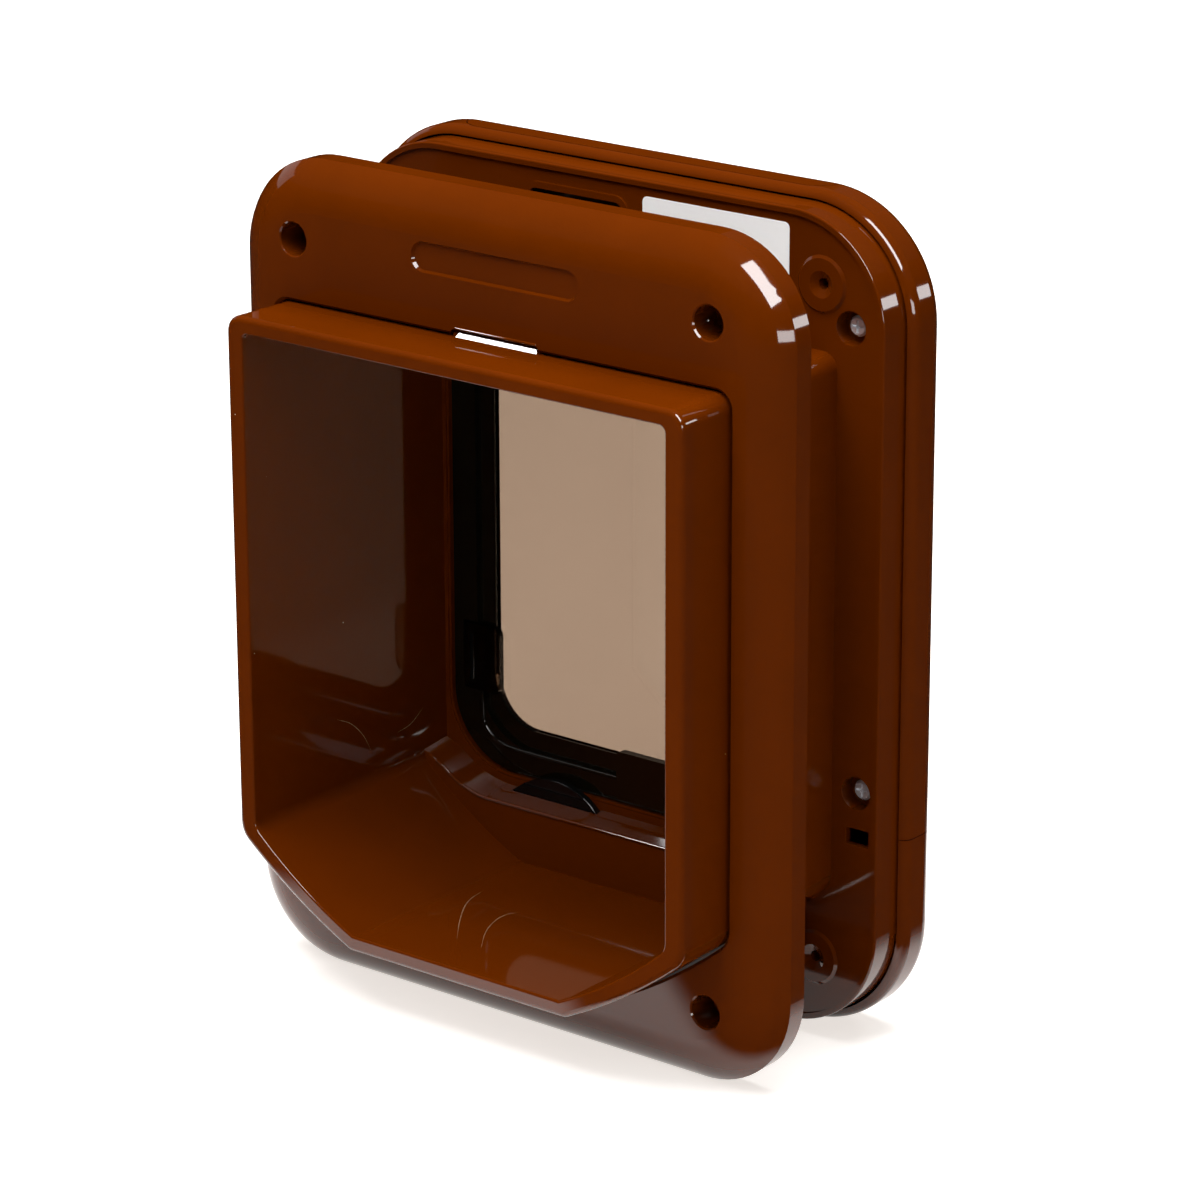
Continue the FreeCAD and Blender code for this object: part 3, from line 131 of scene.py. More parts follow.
# Lamps that light the object, then cards that only its gloss shows: name, place from the object's
# middle, direction of the long side, width and length, and share of the strength. The last card
# shows only in CATCH_PIECES and GLINT_NODES.
LAMP_UNSEEN_BY = ("camera", "glossy", "transmission")
CARD_UNSEEN_BY = ("camera", "diffuse", "transmission")
SOFT_LAMPS = (
    ("front_soft", (0.60, -1.45, 1.90), (0.0, 0.0, 1.0), (1.5, 1.3), 0.42),
    ("mouth_soft", (-0.10, -0.95, 2.15), (1.0, 0.0, 0.0), (1.0, 1.2), 2.5),
    ("left_soft", (-1.90, -0.90, 1.10), (0.0, 0.0, 1.0), (1.2, 1.2), 0.12),
    ("top_soft", (0.10, 0.10, 2.20), (1.0, 0.0, 0.0), (1.4, 1.8), 1.6),
    ("right_soft", (2.10, 0.30, 0.90), (0.0, 0.0, 1.0), (1.0, 1.0), 0.07),
    ("back_soft", (-0.60, 2.00, 1.20), (1.0, 0.0, 0.0), (1.2, 1.6), 0.35),
)
CARDS = (
    ("crown_card", (0.98, -1.10, 1.60), (0.80, -0.13, -0.58), (0.75, 1.60), 1.0),
    ("side_card_front", (2.00, -1.20, 0.17), (0.0, 1.0, 0.0), (0.36, 1.00), 0.5),
    ("side_card_back", (2.00, 2.23, 0.43), (0.0, 1.0, 0.0), (0.36, 0.90), 0.4),
    ("left_card", (-1.90, 0.20, 0.80), (0.0, 1.0, 0.0), (0.50, 1.20), 0.03),
)
CATCH_CARD = ("catch_card", (-1.20, -1.18, 1.09), (0.0, 0.0, 1.0), (0.60, 0.60), 2.6)


class Value:
    """A socket in a finish, with Python's arithmetic on numbers."""

    def __init__(self, finish, socket):
        self.finish = finish
        self.socket = socket

    def maths(self, operation, first, second):
        return self.finish.node("ShaderNodeMath", {"operation": operation}, {0: first, 1: second})

    def __add__(self, other):
        return self.maths("ADD", self, other)

    __radd__ = __add__

    def __sub__(self, other):
        return self.maths("SUBTRACT", self, other)

    def __rsub__(self, other):
        return self.maths("SUBTRACT", other, self)

    def __mul__(self, other):
        return self.maths("MULTIPLY", self, other)

    __rmul__ = __mul__

    def sibling(self, name):
        """Another output of the node that this value comes from."""
        return Value(self.finish, self.socket.node.outputs[name])

    def ramp(self, low, high, start=0.0, end=1.0):
        """Smooth step of the value from low to high, to between start and end."""
        return self.finish.node("ShaderNodeMapRange", {"interpolation_type": "SMOOTHSTEP"},
                                {"Value": self, "From Min": low, "From Max": high,
                                 "To Min": start, "To Max": end})


class Finish:
    """The node tree of a material, or of the world, under construction."""

    def __init__(self, owner):
        self.owner = owner
        self.owner.use_nodes = True
        self.tree = self.owner.node_tree
        self.tree.nodes.clear()

    def feed(self, socket, value):
        """Links a value to a socket, or sets the socket to a number or colour."""
        if isinstance(value, Value):
            self.tree.links.new(value.socket, socket)
        else:
            socket.default_value = value

    def node(self, kind, settings=None, inputs=None, output=0):
        """Adds one node: its settings first, then the values or links of its sockets. An output
        of None is for nodes that have none."""
        made = self.tree.nodes.new(kind)
        for key, value in (settings or {}).items():
            setattr(made, key, value)
        for key, value in (inputs or {}).items():
            self.feed(made.inputs[key], value)
        return None if output is None else Value(self, made.outputs[output])

    def place(self):
        """The point on the object, in metres in the part's frame."""
        return self.node("ShaderNodeTexCoord", output="Object")

    def scaled(self, factors):
        """The point on the object with each axis stretched by its own factor."""
        return self.node("ShaderNodeVectorMath", {"operation": "MULTIPLY"},
                         {0: self.place(), 1: factors})

    def along(self, direction):
        """How far the point lies along a direction, in metres."""
        return self.node("ShaderNodeVectorMath", {"operation": "DOT_PRODUCT"},
                         {0: self.place(), 1: direction}, output=1)

    def noise(self, scale, detail=2.0, stretch=(1, 1, 1)):
        return self.node("ShaderNodeTexNoise", None,
                         {"Vector": self.scaled(stretch), "Scale": scale, "Detail": detail})

    def most(self, first, second):
        """The larger of two numbers."""
        return self.node("ShaderNodeMath", {"operation": "MAXIMUM"}, {0: first, 1: second})

    def mix(self, factor, first, second):
        """Colour between two colours. The mix node's colour sockets are its inputs 6 and 7."""
        return self.node("ShaderNodeMix", {"data_type": "RGBA"}, {0: factor, 6: first, 7: second},
                         output=2)

    def specks(self, scale, size, rarity):
        """Small round specks, one in a few cells of a grid that scale sets."""
        cell = self.node("ShaderNodeTexVoronoi", None, {"Vector": self.place(), "Scale": scale},
                         output="Distance")
        pick = self.node("ShaderNodeTexWhiteNoise", None, {"Vector": cell.sibling("Position")},
                         output="Value")
        return cell.ramp(size, size * 0.6) * pick.ramp(rarity, rarity + 0.005)

    def bump(self, height, strength, distance):
        return self.node("ShaderNodeBump", None,
                         {"Height": height, "Strength": strength, "Distance": distance})

    def surface(self, inputs):
        """Closes the finish with one Principled shader."""
        shader = self.node("ShaderNodeBsdfPrincipled", None, inputs)
        self.node("ShaderNodeOutputMaterial", None, {"Surface": shader}, output=None)
        return self.owner


def shade(rgb, factor):
    """The same colour, lighter or darker."""
    return tuple(min(1.0, c * factor) for c in rgb[:3]) + (1.0,)


def moulded_plastic(name, base, roughness, specular):
    """Glossy injection-moulded plastic: faint flow streaks, soft waviness and a few specks of dust."""
    finish = Finish(bpy.data.materials.new(name))
    streaks = finish.noise(9.0, 2.0, stretch=(1.0, 1.0, 0.25))
    cloud = finish.noise(45.0, 2.0)
    tone = streaks * 0.7 + cloud * 0.3
    body = finish.mix(tone.ramp(0.35, 0.65), shade(base, 0.94), shade(base, 1.06))
    dust = finish.specks(130.0, 0.03, 0.97) + finish.specks(55.0, 0.012, 0.93)
    skin = finish.noise(420.0, 2.0)
    wave = finish.noise(22.0, 1.0)
    return finish.surface({
        "Base Color": finish.mix(dust, body, DUST_COLOUR),
        "Roughness": roughness + (skin - 0.5) * 0.02 + dust * 0.5,
        "Specular IOR Level": specular,
        "Normal": finish.bump(wave + skin * 0.02, 0.10, 0.0008),
    })


def smoked_gloss(name, base, roughness):
    """Dark smoked plastic with a deep gloss, warmer where it is thin."""
    finish = Finish(bpy.data.materials.new(name))
    depth = finish.noise(30.0, 2.0)
    wave = finish.noise(40.0, 1.0)
    return finish.surface({
        "Base Color": finish.mix(depth, shade(base, 0.5), shade(base, 1.6)),
        "Roughness": roughness + (finish.noise(300.0) - 0.5) * 0.03,
        "Normal": finish.bump(wave, 0.1, 0.0006),
    })


def smoked_clear(name, tint, roughness):
    """Clear smoked sheet that tints what is behind it."""
    finish = Finish(bpy.data.materials.new(name))
    haze = finish.noise(14.0, 3.0)
    return finish.surface({
        "Base Color": finish.mix(haze.ramp(0.3, 0.7), shade(tint, 0.985), shade(tint, 1.015)),
        "Roughness": roughness + (finish.noise(220.0) - 0.5) * 0.01,
        "IOR": 1.49,
        "Specular IOR Level": 0.25,
        "Transmission Weight": 1.0,
    })


def plated_steel(name, base, roughness):
    """Plated metal with fine turning marks."""
    finish = Finish(bpy.data.materials.new(name))
    marks = finish.noise(900.0, 3.0)
    return finish.surface({
        "Base Color": finish.mix(marks, shade(base, 0.85), shade(base, 1.1)),
        "Metallic": 0.7,
        "Roughness": roughness + (marks - 0.5) * 0.12,
        "Normal": finish.bump(marks, 0.15, 0.0001),
    })


def satin_plastic(name, base, roughness):
    """Fine-grained matt plastic for the pieces inside and the controls."""
    finish = Finish(bpy.data.materials.new(name))
    grain = finish.noise(1400.0, 2.0)
    return finish.surface({
        "Base Color": finish.mix(finish.noise(30.0), shade(base, 0.9), shade(base, 1.12)),
        "Roughness": roughness + (grain - 0.5) * 0.1,
        "Normal": finish.bump(grain, 0.2, 0.00005),
    })


def label_paper(name, base):
    """Coated white paper with a faint fibre."""
    finish = Finish(bpy.data.materials.new(name))
    fibre = finish.noise(700.0, 4.0)
    return finish.surface({
        "Base Color": finish.mix(fibre, shade(base, 0.97), base),
        "Roughness": 0.35 + fibre * 0.15,
        "Normal": finish.bump(fibre, 0.1, 0.00003),
    })


def scuffed_skin(name, base):
    """Roughened plastic where something has rubbed it pale."""
    finish = Finish(bpy.data.materials.new(name))
    wear = finish.noise(900.0, 3.0)
    return finish.surface({
        "Base Color": finish.mix(wear.ramp(0.3, 0.7), shade(base, 0.4), base),
        "Roughness": 0.35 + wear * 0.2,
    })


def dress(node, material):
    """Gives a CAD node its finish."""
    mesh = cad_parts[node].data
    mesh.materials.clear()
    mesh.materials.append(material)


def mesh_object(name, work, material):
    """Puts a bmesh in the scene as an object."""
    mesh = bpy.data.meshes.new(name)
    work.to_mesh(mesh)
    work.free()
    mesh.materials.append(material)
    made = bpy.data.objects.new(name, mesh)
    bpy.context.scene.collection.objects.link(made)
    return made


def add_piece(name, work, material, body):
    """Puts a bmesh in the scene as a piece that rides on a body."""
    piece = mesh_object(name, work, material)
    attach(piece, body)


def smooth_faces(work):
    for face in work.faces:
        face.smooth = True


def rounded_outline(half_width, half_height, radius, steps):
    """Points of a rounded rectangle about the origin."""
    points = []
    for centre_x, centre_z, start in ((1, 1, 0), (-1, 1, 90), (-1, -1, 180), (1, -1, 270)):
        for step in range(steps + 1):
            angle = math.radians(start + 90 * step / steps)
            points.append((centre_x * (half_width - radius) + radius * math.cos(angle),
                           centre_z * (half_height - radius) + radius * math.sin(angle)))
    return points


def plate_mesh(outline, middle, y_back, y_front, bevel):
    """Thin plate in the XZ plane, from y_back to y_front, with its front edge eased."""
    work = bmesh.new()
    back = [work.verts.new((x + middle[0], y_back, z + middle[1])) for x, z in outline]
    face = work.faces.new(back)
    made = bmesh.ops.extrude_face_region(work, geom=[face])
    moved = [v for v in made["geom"] if isinstance(v, bmesh.types.BMVert)]
    bmesh.ops.translate(work, verts=moved, vec=(0, y_front - y_back, 0))
    rim = [e for e in work.edges if all(abs(v.co.y - y_front) < 1e-7 for v in e.verts)]
    bmesh.ops.bevel(work, geom=rim, offset=bevel, segments=2, affect="EDGES")
    bmesh.ops.recalc_face_normals(work, faces=work.faces)
    return work


def ramp_mesh(left, right, low, high):
    """Wedge along X, its sloped face from a low front point to a high back point, ends eased."""
    work = bmesh.new()
    ease = (high[1] - low[1]) * RAMP_EASE
    sides = []
    for x, turn in ((left, 1), (right, -1)):
        sides.append([work.verts.new((x, low[0], low[1])),
                      work.verts.new((x + turn * ease, high[0], high[1])),
                      work.verts.new((x + turn * ease, high[0] + ease, high[1])),
                      work.verts.new((x, high[0] + ease, low[1]))])
    for step in range(4):
        after = (step + 1) % 4
        work.faces.new((sides[0][step], sides[0][after], sides[1][after], sides[1][step]))
    for side in sides:
        work.faces.new(side)
    rim = [e for e in work.edges if min(v.co.y for v in e.verts) < high[0] + ease / 2]
    bmesh.ops.bevel(work, geom=rim, offset=ease * RAMP_BEVEL, segments=2, affect="EDGES")
    bmesh.ops.recalc_face_normals(work, faces=work.faces)
    return work


def smooth_route(points):
    """Points along a smooth curve through the given points."""
    ends = [points[0] * 2 - points[1]] + points + [points[-1] * 2 - points[-2]]
    made = []
    for before, start, end, after in zip(ends, ends[1:], ends[2:], ends[3:]):
        for step in range(CURVE_STEPS):
            t = step / CURVE_STEPS
            made.append(0.5 * (2 * start + (end - before) * t
                               + (2 * before - 5 * start + 4 * end - after) * t * t
                               + (3 * start - before - 3 * end + after) * t ** 3))
    return made + [points[-1]]


def mirrored_route(half, y):
    """Route in the plane at y, from its left end over the middle to its right end."""
    right = [Vector((x, y, z)) for x, z in half]
    return [Vector((-point.x, y, point.z)) for point in reversed(right[1:])] + right


def tube_mesh(points, radius):
    """Smooth thin tube in an XZ plane, tapered to its ends."""
    work = bmesh.new()
    route = smooth_route(points)
    rings = []
    for index, point in enumerate(route):
        ahead = (route[min(index + 1, len(route) - 1)] - route[max(index - 1, 0)]).normalized()
        side = ahead.cross(Vector((0.0, 1.0, 0.0)))
        size = radius * min(1.0, 0.1 + 0.3 * min(index, len(route) - 1 - index))
        ring = []
        for corner in range(TUBE_SIDES):
            angle = math.tau * corner / TUBE_SIDES
            out = math.cos(angle) * side + Vector((0.0, math.sin(angle), 0.0))
            ring.append(work.verts.new(point + size * out))
        rings.append(ring)
    for first, second in zip(rings, rings[1:]):
        for corner in range(TUBE_SIDES):
            after = (corner + 1) % TUBE_SIDES
            work.faces.new((first[corner], first[after], second[after], second[corner]))
    work.faces.new(rings[0])
    work.faces.new(rings[-1])
    bmesh.ops.recalc_face_normals(work, faces=work.faces)
    smooth_faces(work)
    return work


def add_ribbon(work, points, normal):
    """Adds a thin ribbon that tapers to its ends, lying on a surface with that normal."""
    route = smooth_route(points)
    rails = []
    for index, point in enumerate(route):
        ahead = route[min(index + 1, len(route) - 1)] - route[max(index - 1, 0)]
        side = ahead.cross(normal).normalized()
        half = SCUFF_WIDTH / 2 * (0.15 + math.sin(math.pi * index / (len(route) - 1)))
        rails.append((work.verts.new(point - side * half), work.verts.new(point + side * half)))
    for first, second in zip(rails, rails[1:]):
        work.faces.new((first[0], first[1], second[1], second[0]))


def bead_mesh(left, right, middle, radius):
    """Thin rounded bead along X with domed ends."""
    work = bmesh.new()
    bmesh.ops.create_uvsphere(work, u_segments=16, v_segments=12, radius=radius)
    bmesh.ops.rotate(work, verts=work.verts, matrix=Matrix.Rotation(math.pi / 2, 3, "Y"))
    half = (right - left) / 2 - radius
    for vert in work.verts:
        vert.co.x += math.copysign(half, vert.co.x) + (left + right) / 2
        vert.co.y += middle[0]
        vert.co.z += middle[1]
    smooth_faces(work)
    return work


class HousingSettings(bpy.types.PropertyGroup):
    base: bpy.props.FloatVectorProperty(
        name="Housing colour", description="Colour of the moulded housings", subtype="COLOR", size=3,
        min=0.0, max=1.0, default=(0.088, 0.0142, 0.0001))
    roughness: bpy.props.FloatProperty(
        name="Housing roughness", description="Roughness of the moulded skin", default=0.06,
        min=0.02, max=1.0)
    specular: bpy.props.FloatProperty(
        name="Housing shine", description="Strength of the plastic's reflection", default=0.5,
        min=0.0, max=1.0)


class FlapSettings(bpy.types.PropertyGroup):
    rim: bpy.props.FloatVectorProperty(
        name="Rim colour", description="Colour of the flap's dark rim", subtype="COLOR", size=3,
        min=0.0, max=1.0, default=(0.004, 0.003, 0.0015))
    pane: bpy.props.FloatVectorProperty(
        name="Pane tint", description="Tint of the clear smoked pane", subtype="COLOR", size=3,
        min=0.0, max=1.0, default=(0.20, 0.141, 0.10))
    clip: bpy.props.FloatVectorProperty(
        name="Clip tint", description="Tint of the side clip", subtype="COLOR", size=3,
        min=0.0, max=1.0, default=(0.40, 0.30, 0.22))


class LabelSettings(bpy.types.PropertyGroup):
    width: bpy.props.FloatProperty(
        name="Label width", description="Width of the plain label", default=0.0608, unit="LENGTH",
        min=0.01, max=0.09)
    height: bpy.props.FloatProperty(
        name="Label height", description="Height of the plain label", default=0.026, unit="LENGTH",
        min=0.01, max=0.035)
    left: bpy.props.FloatProperty(
        name="Label left edge", description="Place of the label's left edge", default=0.0139,
        unit="LENGTH", min=0.0, max=0.05)
    top: bpy.props.FloatProperty(
        name="Label top edge", description="Height of the label's top edge", default=0.2835,
        unit="LENGTH", min=0.2, max=0.29)
    corner: bpy.props.FloatProperty(
        name="Label corner", description="Radius of the label's corners", default=0.002,
        unit="LENGTH", min=0.0005, max=0.01)
    thickness: bpy.props.FloatProperty(
        name="Label thickness", description="Thickness of the label", default=0.0002, unit="LENGTH",
        min=0.00005, max=0.001)


class StudioSettings(bpy.types.PropertyGroup):
    floor: bpy.props.FloatVectorProperty(
        name="Floor colour", description="Colour of the studio floor", subtype="COLOR", size=3,
        min=0.0, max=1.0, default=(0.62, 0.61, 0.60))
    glow: bpy.props.FloatProperty(
        name="Floor glow", description="How white the floor shows in the picture and in gloss",
        default=0.74, min=0.0, max=1.0)
    soft: bpy.props.FloatProperty(
        name="Soft light", description="Strength of the soft lamps that light the object", default=6.0,
        min=0.0, max=50.0)
    cards: bpy.props.FloatProperty(
        name="Cards", description="Strength of the cards that show as strips in gloss", default=20.0,
        min=0.0, max=500.0)


class CATFLAP_OT_housings(bpy.types.Operator):
    """Finish the moulded housings"""
    bl_idname = "catflap.housings"
    bl_label = "Housings"

    def execute(self, context):
        settings = context.scene.catflap_housing
        plastic = moulded_plastic("brown_gloss_plastic", settings.base, settings.roughness,
                                  settings.specular)
        for node in HOUSINGS:
            dress(node, plastic)
        return {"FINISHED"}


class CATFLAP_OT_flap(bpy.types.Operator):
    """Finish the swinging flap and what is on it"""
    bl_idname = "catflap.flap"
    bl_label = "Flap"

    def execute(self, context):
        settings = context.scene.catflap_flap
        rim = smoked_gloss("smoked_rim_plastic", settings.rim, 0.05)
        for node in SMOKED_PIECES:
            dress(node, rim)
        dress("flap_pane", smoked_clear("smoked_pane", settings.pane, 0.02))
        dress("side_clip", smoked_clear("smoked_clip", settings.clip, 0.08))
        dress("flap_magnet", satin_plastic("magnet_grey", (0.06, 0.06, 0.065), 0.45))
        return {"FINISHED"}


class CATFLAP_OT_lock(bpy.types.Operator):
    """Finish the lock, the latch and the button"""
    bl_idname = "catflap.lock"
    bl_label = "Lock and controls"

    def execute(self, context):
        black = smoked_gloss("lock_black_plastic", (0.004, 0.004, 0.004), 0.06)
        for node in LOCK_PIECES:
            dress(node, black)
        satin = satin_plastic("latch_black_plastic", (0.012, 0.012, 0.012), 0.4)
        for node in ("latch_bolt", "program_button", "battery_tray", "latch_solenoid"):
            dress(node, satin)
        dress("lamp_lens", smoked_clear("lamp_red_clear", (0.85, 0.15, 0.1), 0.1))
        return {"FINISHED"}


class CATFLAP_OT_fittings(bpy.types.Operator):
    """Finish the metal pieces, the cells and the board"""
    bl_idname = "catflap.fittings"
    bl_label = "Metal and inner pieces"

    def execute(self, context):
        dress("case_screws", plated_steel("screw_plating", (0.85, 0.87, 0.90), 0.25))
        steel = plated_steel("drawn_steel", (0.55, 0.55, 0.55), 0.3)
        for node in ("flap_axle", "latch_plunger", "battery_contacts"):
            dress(node, steel)
        dress("aerial_coil", plated_steel("varnished_copper", (0.72, 0.33, 0.15), 0.3))
        dress("battery_cells", satin_plastic("cell_sleeve", (0.05, 0.05, 0.06), 0.3))
        dress("circuit_board", satin_plastic("board_lacquer", (0.01, 0.11, 0.04), 0.35))
        return {"FINISHED"}


class CATFLAP_OT_label(bpy.types.Operator):
    """Stick the plain label on the door-side face"""
    bl_idname = "catflap.label"
    bl_label = "Plain label"

    def execute(self, context):
        settings = context.scene.catflap_label
        half = (settings.width / 2, settings.height / 2)
        middle = (settings.left + half[0], settings.top - half[1])
        face_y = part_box("front_shell")[0][1] + FACE_BEHIND_RIM
        paper = label_paper("label_paper", PAPER_COLOUR)
        outline = rounded_outline(half[0], half[1], settings.corner, LABEL_CORNER_STEPS)
        sheet = plate_mesh(outline, middle, face_y, face_y - settings.thickness,
                           settings.thickness / 3)
        add_piece("plain_label", sheet, paper, "unit")
        return {"FINISHED"}


class CATFLAP_OT_catch(bpy.types.Operator):
    """Ease the catch on top of the tunnel and the notch above it"""
    bl_idname = "catflap.catch"
    bl_label = "Catch"

    def execute(self, context):
        plastic = bpy.data.materials["brown_gloss_plastic"]
        ramp = ramp_mesh(CATCH_LEFT, CATCH_RIGHT, *CATCH_SLOPE)
        bead = bead_mesh(CATCH_LEFT, CATCH_RIGHT, NOTCH_EDGE, NOTCH_BEAD)
        add_piece("catch_ramp", ramp, plastic, "unit")
        add_piece("notch_bead", bead, plastic, "unit")
        return {"FINISHED"}


class CATFLAP_OT_edges(bpy.types.Operator):
    """Round the edges that carry thin glints"""
    bl_idname = "catflap.edges"
    bl_label = "Eased edges"

    def execute(self, context):
        rim_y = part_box("flap_rim")[0][1]
        disc_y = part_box("lock_disc")[0][1]
        lobe = [Vector((LOBE_MIDDLE[0] + LOBE_RADIUS * math.cos(math.radians(angle)), disc_y,
                        LOBE_MIDDLE[1] + LOBE_RADIUS * math.sin(math.radians(angle))))
                for angle in LOBE_ANGLES]
        ridge = mirrored_route(RIDGE_HALF, rim_y)
        shelf = mirrored_route(SHELF_HALF, SHELF_FRONT)
        for name, body, route, radius, finish in (
                ("rim_ridge", "flap", ridge, RIDGE_RADIUS, "smoked_rim_plastic"),
                ("lobe_edge", "lock", lobe, EDGE_RADIUS, "lock_black_plastic"),
                ("shelf_edge", "unit", shelf, EDGE_RADIUS, "brown_gloss_plastic")):
            add_piece(name, tube_mesh(route, radius), bpy.data.materials[finish], body)
        return {"FINISHED"}


class CATFLAP_OT_scuffs(bpy.types.Operator):
    """Fine scuffs inside the tunnel"""
    bl_idname = "catflap.scuffs"
    bl_label = "Scuffs"

    def execute(self, context):
        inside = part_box("tunnel_sleeve")[0]
        floor_z = inside[2] + SLEEVE_SKIN + SCUFF_LIFT
        wall_x = inside[0] + SLEEVE_SKIN + SCUFF_LIFT
        work = bmesh.new()
        for route in FLOOR_SCUFFS:
            add_ribbon(work, [Vector((x, y, floor_z)) for x, y in route], Vector((0.0, 0.0, 1.0)))
        for route in WALL_SCUFFS:
            add_ribbon(work, [Vector((wall_x, y, z)) for y, z in route], Vector((1.0, 0.0, 0.0)))
        add_piece("tunnel_scuffs", work, scuffed_skin("scuff_pale", SCUFF_COLOUR), "unit")
        return {"FINISHED"}


class CATFLAP_OT_studio(bpy.types.Operator):
    """Set up the floor, the lights and the camera"""
    bl_idname = "catflap.studio"
    bl_label = "Studio"

    def execute(self, context):
        settings = context.scene.catflap_studio
        scene = context.scene
        scene.view_settings.view_transform = "Standard"
        add_floor(settings.floor, settings.glow)
        light_world(scene)
        for lamp in SOFT_LAMPS:
            add_lamp(lamp, settings.soft, LAMP_UNSEEN_BY)
        for card in CARDS:
            add_lamp(card, settings.cards, CARD_UNSEEN_BY)
        catch_only = bpy.data.collections.new("catch_only")
        for name in CATCH_PIECES:
            catch_only.objects.link(bpy.data.objects[name])
        for name in GLINT_NODES:
            catch_only.objects.link(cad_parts[name])
        catch_card = add_lamp(CATCH_CARD, settings.cards, CARD_UNSEEN_BY)
        catch_card.light_linking.receiver_collection = catch_only
        add_camera(scene)
        return {"FINISHED"}


def floor_finish(rgb, glow):
    """Floor that shows white in the picture and through the pane. In gloss it glows white only on a
    patch round the object and is painted dark beyond it: painted light and painted shade that the
    object's gloss mirrors."""
    finish = Finish(bpy.data.materials.new("studio_floor"))
    camera = finish.node("ShaderNodeLightPath", output="Is Camera Ray")
    through = camera.sibling("Is Transmission Ray")
    straight = through * (1 - camera.sibling("Glossy Depth").ramp(0.0, 1.0))
    mirrored = camera.sibling("Is Glossy Ray") * (1 - through)
    to_camera = finish.along((math.sin(CAMERA_YAW), -math.cos(CAMERA_YAW), 0.0))
    to_front = finish.along((0.0, -1.0, 0.0))
    to_right = finish.along((1.0, 0.0, 0.0))
    away = finish.node("ShaderNodeVectorMath", {"operation": "LENGTH"}, {0: finish.place()}, 1)
    beyond = finish.most(to_camera.ramp(*PAINTED_PATCH_FRONT),
                         finish.most(to_front.ramp(*PAINTED_PATCH_NEAR), to_right.ramp(*PAINTED_PATCH_RIGHT)))
    off_painted_patch = finish.most(beyond, away.ramp(*PAINTED_PATCH_REACH))
    # In gloss the floor glows white only on the patch round the object: painted light
    seen = finish.most(finish.most(camera, straight),
                       finish.most(through * (1 - beyond), mirrored * (1 - off_painted_patch)))
    # Near the object the glow is tinted warm: painted bounce light from the brown object in the floor's
    # shadow
    painted_warm_glow = tuple(glow * tint for tint in PAINTED_BOUNCE_TINT) + (1.0,)
    grain = finish.noise(6.0, 2.0)
    plain = finish.mix(grain, shade(rgb, 0.995), shade(rgb, 1.005))
    return finish.surface({
        # In gloss the floor beyond the patch is painted dark: painted shade
        "Base Color": finish.mix(mirrored * off_painted_patch, plain, PAINTED_DARK_IN_GLOSS),
        "Roughness": 0.5,
        "Specular IOR Level": 0.0,
        "Emission Color": finish.mix(seen, BLACK, finish.mix(away.ramp(*GLOW_SPREAD), painted_warm_glow, WHITE)),
        "Emission Strength": 1.0,
    })


def add_floor(rgb, glow):
    """Round floor with a wall around it."""
    work = bmesh.new()
    bmesh.ops.create_circle(work, cap_ends=True, segments=FLOOR_SIDES, radius=FLOOR_RADIUS)
    made = bmesh.ops.extrude_edge_only(work, edges=[e for e in work.edges if e.is_boundary])
    raised = [v for v in made["geom"] if isinstance(v, bmesh.types.BMVert)]
    bmesh.ops.translate(work, verts=raised, vec=(0.0, 0.0, BACKDROP_HEIGHT))
    floor = mesh_object("studio_floor", work, floor_finish(rgb, glow))


def light_world(scene):
    """Dim even world that shows white in the picture."""
    world = bpy.data.worlds.new("studio_world")
    finish = Finish(world)
    camera = finish.node("ShaderNodeLightPath", output="Is Camera Ray")
    strength = WORLD_STRENGTH + camera * (1 - WORLD_STRENGTH)
    background = finish.node("ShaderNodeBackground", None, {"Color": WHITE, "Strength": strength})
    finish.node("ShaderNodeOutputWorld", None, {"Surface": background}, output=None)
    scene.world = world


def add_lamp(entry, strength, unseen_by):
    """Rectangular lamp from its line in a table above. It faces the object, with its long side
    along the direction given there, and doesn't show to the named kinds of ray."""
    name, towards, along, size, share = entry
    lamp = bpy.data.lights.new(name, "AREA")
    lamp.shape = "RECTANGLE"
    lamp.size, lamp.size_y = size
    lamp.energy = share * strength * math.pi * size[0] * size[1]
    holder = bpy.data.objects.new(name, lamp)
    away = Vector(towards).normalized()
    right = Vector(along).cross(away).normalized()
    long_side = away.cross(right)
    place = Vector(towards) + Vector((0.0, 0.0, AIM_HEIGHT))
    turn = Matrix((right, long_side, away)).transposed().to_4x4()
    holder.matrix_world = Matrix.Translation(place) @ turn
    for kind in unseen_by:
        setattr(holder, "visible_" + kind, False)
    bpy.context.scene.collection.objects.link(holder)
    return holder


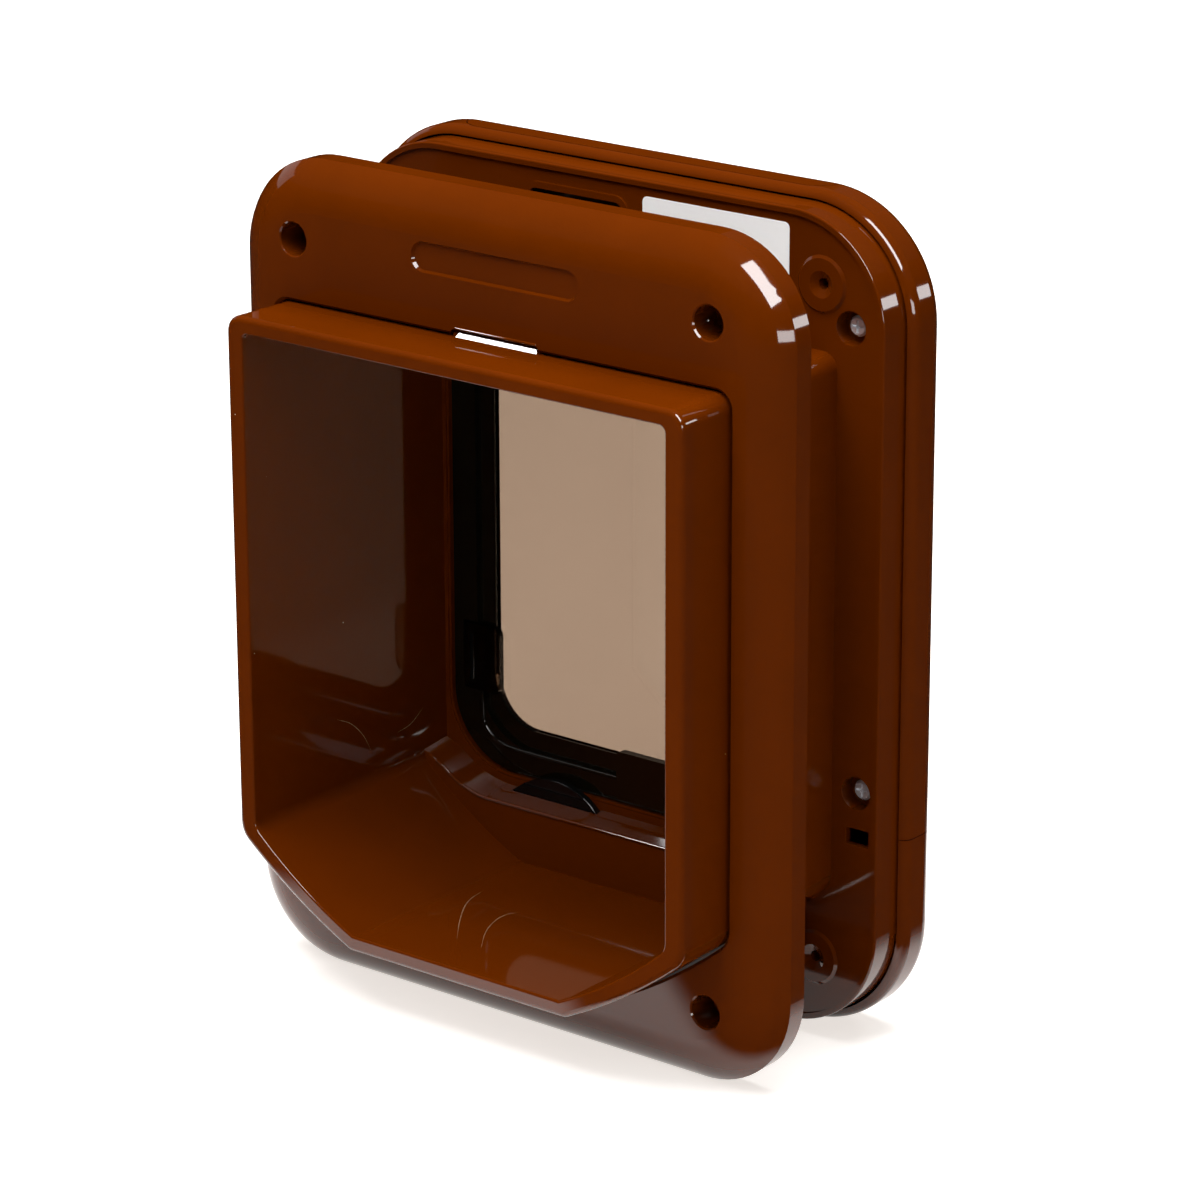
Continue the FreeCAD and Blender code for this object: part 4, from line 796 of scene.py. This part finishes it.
def add_camera(scene):
    """Camera at the photograph's place, angle and field of view."""
    forward = Vector((-math.sin(CAMERA_YAW) * math.cos(CAMERA_PITCH),
                      math.cos(CAMERA_YAW) * math.cos(CAMERA_PITCH), -math.sin(CAMERA_PITCH)))
    level = Vector((math.cos(CAMERA_YAW), math.sin(CAMERA_YAW), 0.0))
    down = forward.cross(level)
    right = math.cos(CAMERA_ROLL) * level + math.sin(CAMERA_ROLL) * down
    up = math.sin(CAMERA_ROLL) * level - math.cos(CAMERA_ROLL) * down
    lens = bpy.data.cameras.new("photo_camera")
    lens.sensor_width = 36.0
    lens.lens = CAMERA_LENS_MM
    lens.clip_end = 20.0
    camera = bpy.data.objects.new("photo_camera", lens)
    turn = Matrix((right, up, -forward)).transposed().to_4x4()
    camera.matrix_world = Matrix.Translation(CAMERA_PLACE) @ turn
    scene.collection.objects.link(camera)
    scene.camera = camera


class CATFLAP_PT_panel(bpy.types.Panel):
    """Shows the cat flap's settings and a button for each step"""
    bl_idname = "CATFLAP_PT_panel"
    bl_label = "Cat flap"
    bl_space_type = "VIEW_3D"
    bl_region_type = "UI"
    bl_category = "Cat flap"

    def draw(self, context):
        for group in (context.scene.catflap_housing, context.scene.catflap_flap,
                      context.scene.catflap_label, context.scene.catflap_studio):
            column = self.layout.column()
            for key in group.__annotations__:
                column.prop(group, key)
        for step in STEPS:
            self.layout.operator(step.bl_idname)


SETTINGS = {
    "catflap_housing": HousingSettings,
    "catflap_flap": FlapSettings,
    "catflap_label": LabelSettings,
    "catflap_studio": StudioSettings,
}
STEPS = (CATFLAP_OT_housings, CATFLAP_OT_flap, CATFLAP_OT_lock, CATFLAP_OT_fittings, CATFLAP_OT_label,
         CATFLAP_OT_catch, CATFLAP_OT_edges, CATFLAP_OT_scuffs, CATFLAP_OT_studio)


def register():
    for group in SETTINGS.values():
        bpy.utils.register_class(group)
    for step in STEPS:
        bpy.utils.register_class(step)
    bpy.utils.register_class(CATFLAP_PT_panel)
    for name, group in SETTINGS.items():
        setattr(bpy.types.Scene, name, bpy.props.PointerProperty(type=group))


def unregister():
    for name in SETTINGS:
        delattr(bpy.types.Scene, name)
    bpy.utils.unregister_class(CATFLAP_PT_panel)
    for step in reversed(STEPS):
        bpy.utils.unregister_class(step)
    for group in SETTINGS.values():
        bpy.utils.unregister_class(group)


def main():
    register()
    bpy.ops.catflap.housings()
    bpy.ops.catflap.flap()
    bpy.ops.catflap.lock()
    bpy.ops.catflap.fittings()
    bpy.ops.catflap.label()
    bpy.ops.catflap.catch()
    bpy.ops.catflap.edges()
    bpy.ops.catflap.scuffs()
    bpy.ops.catflap.studio()


if __name__ == "__main__":
    main()
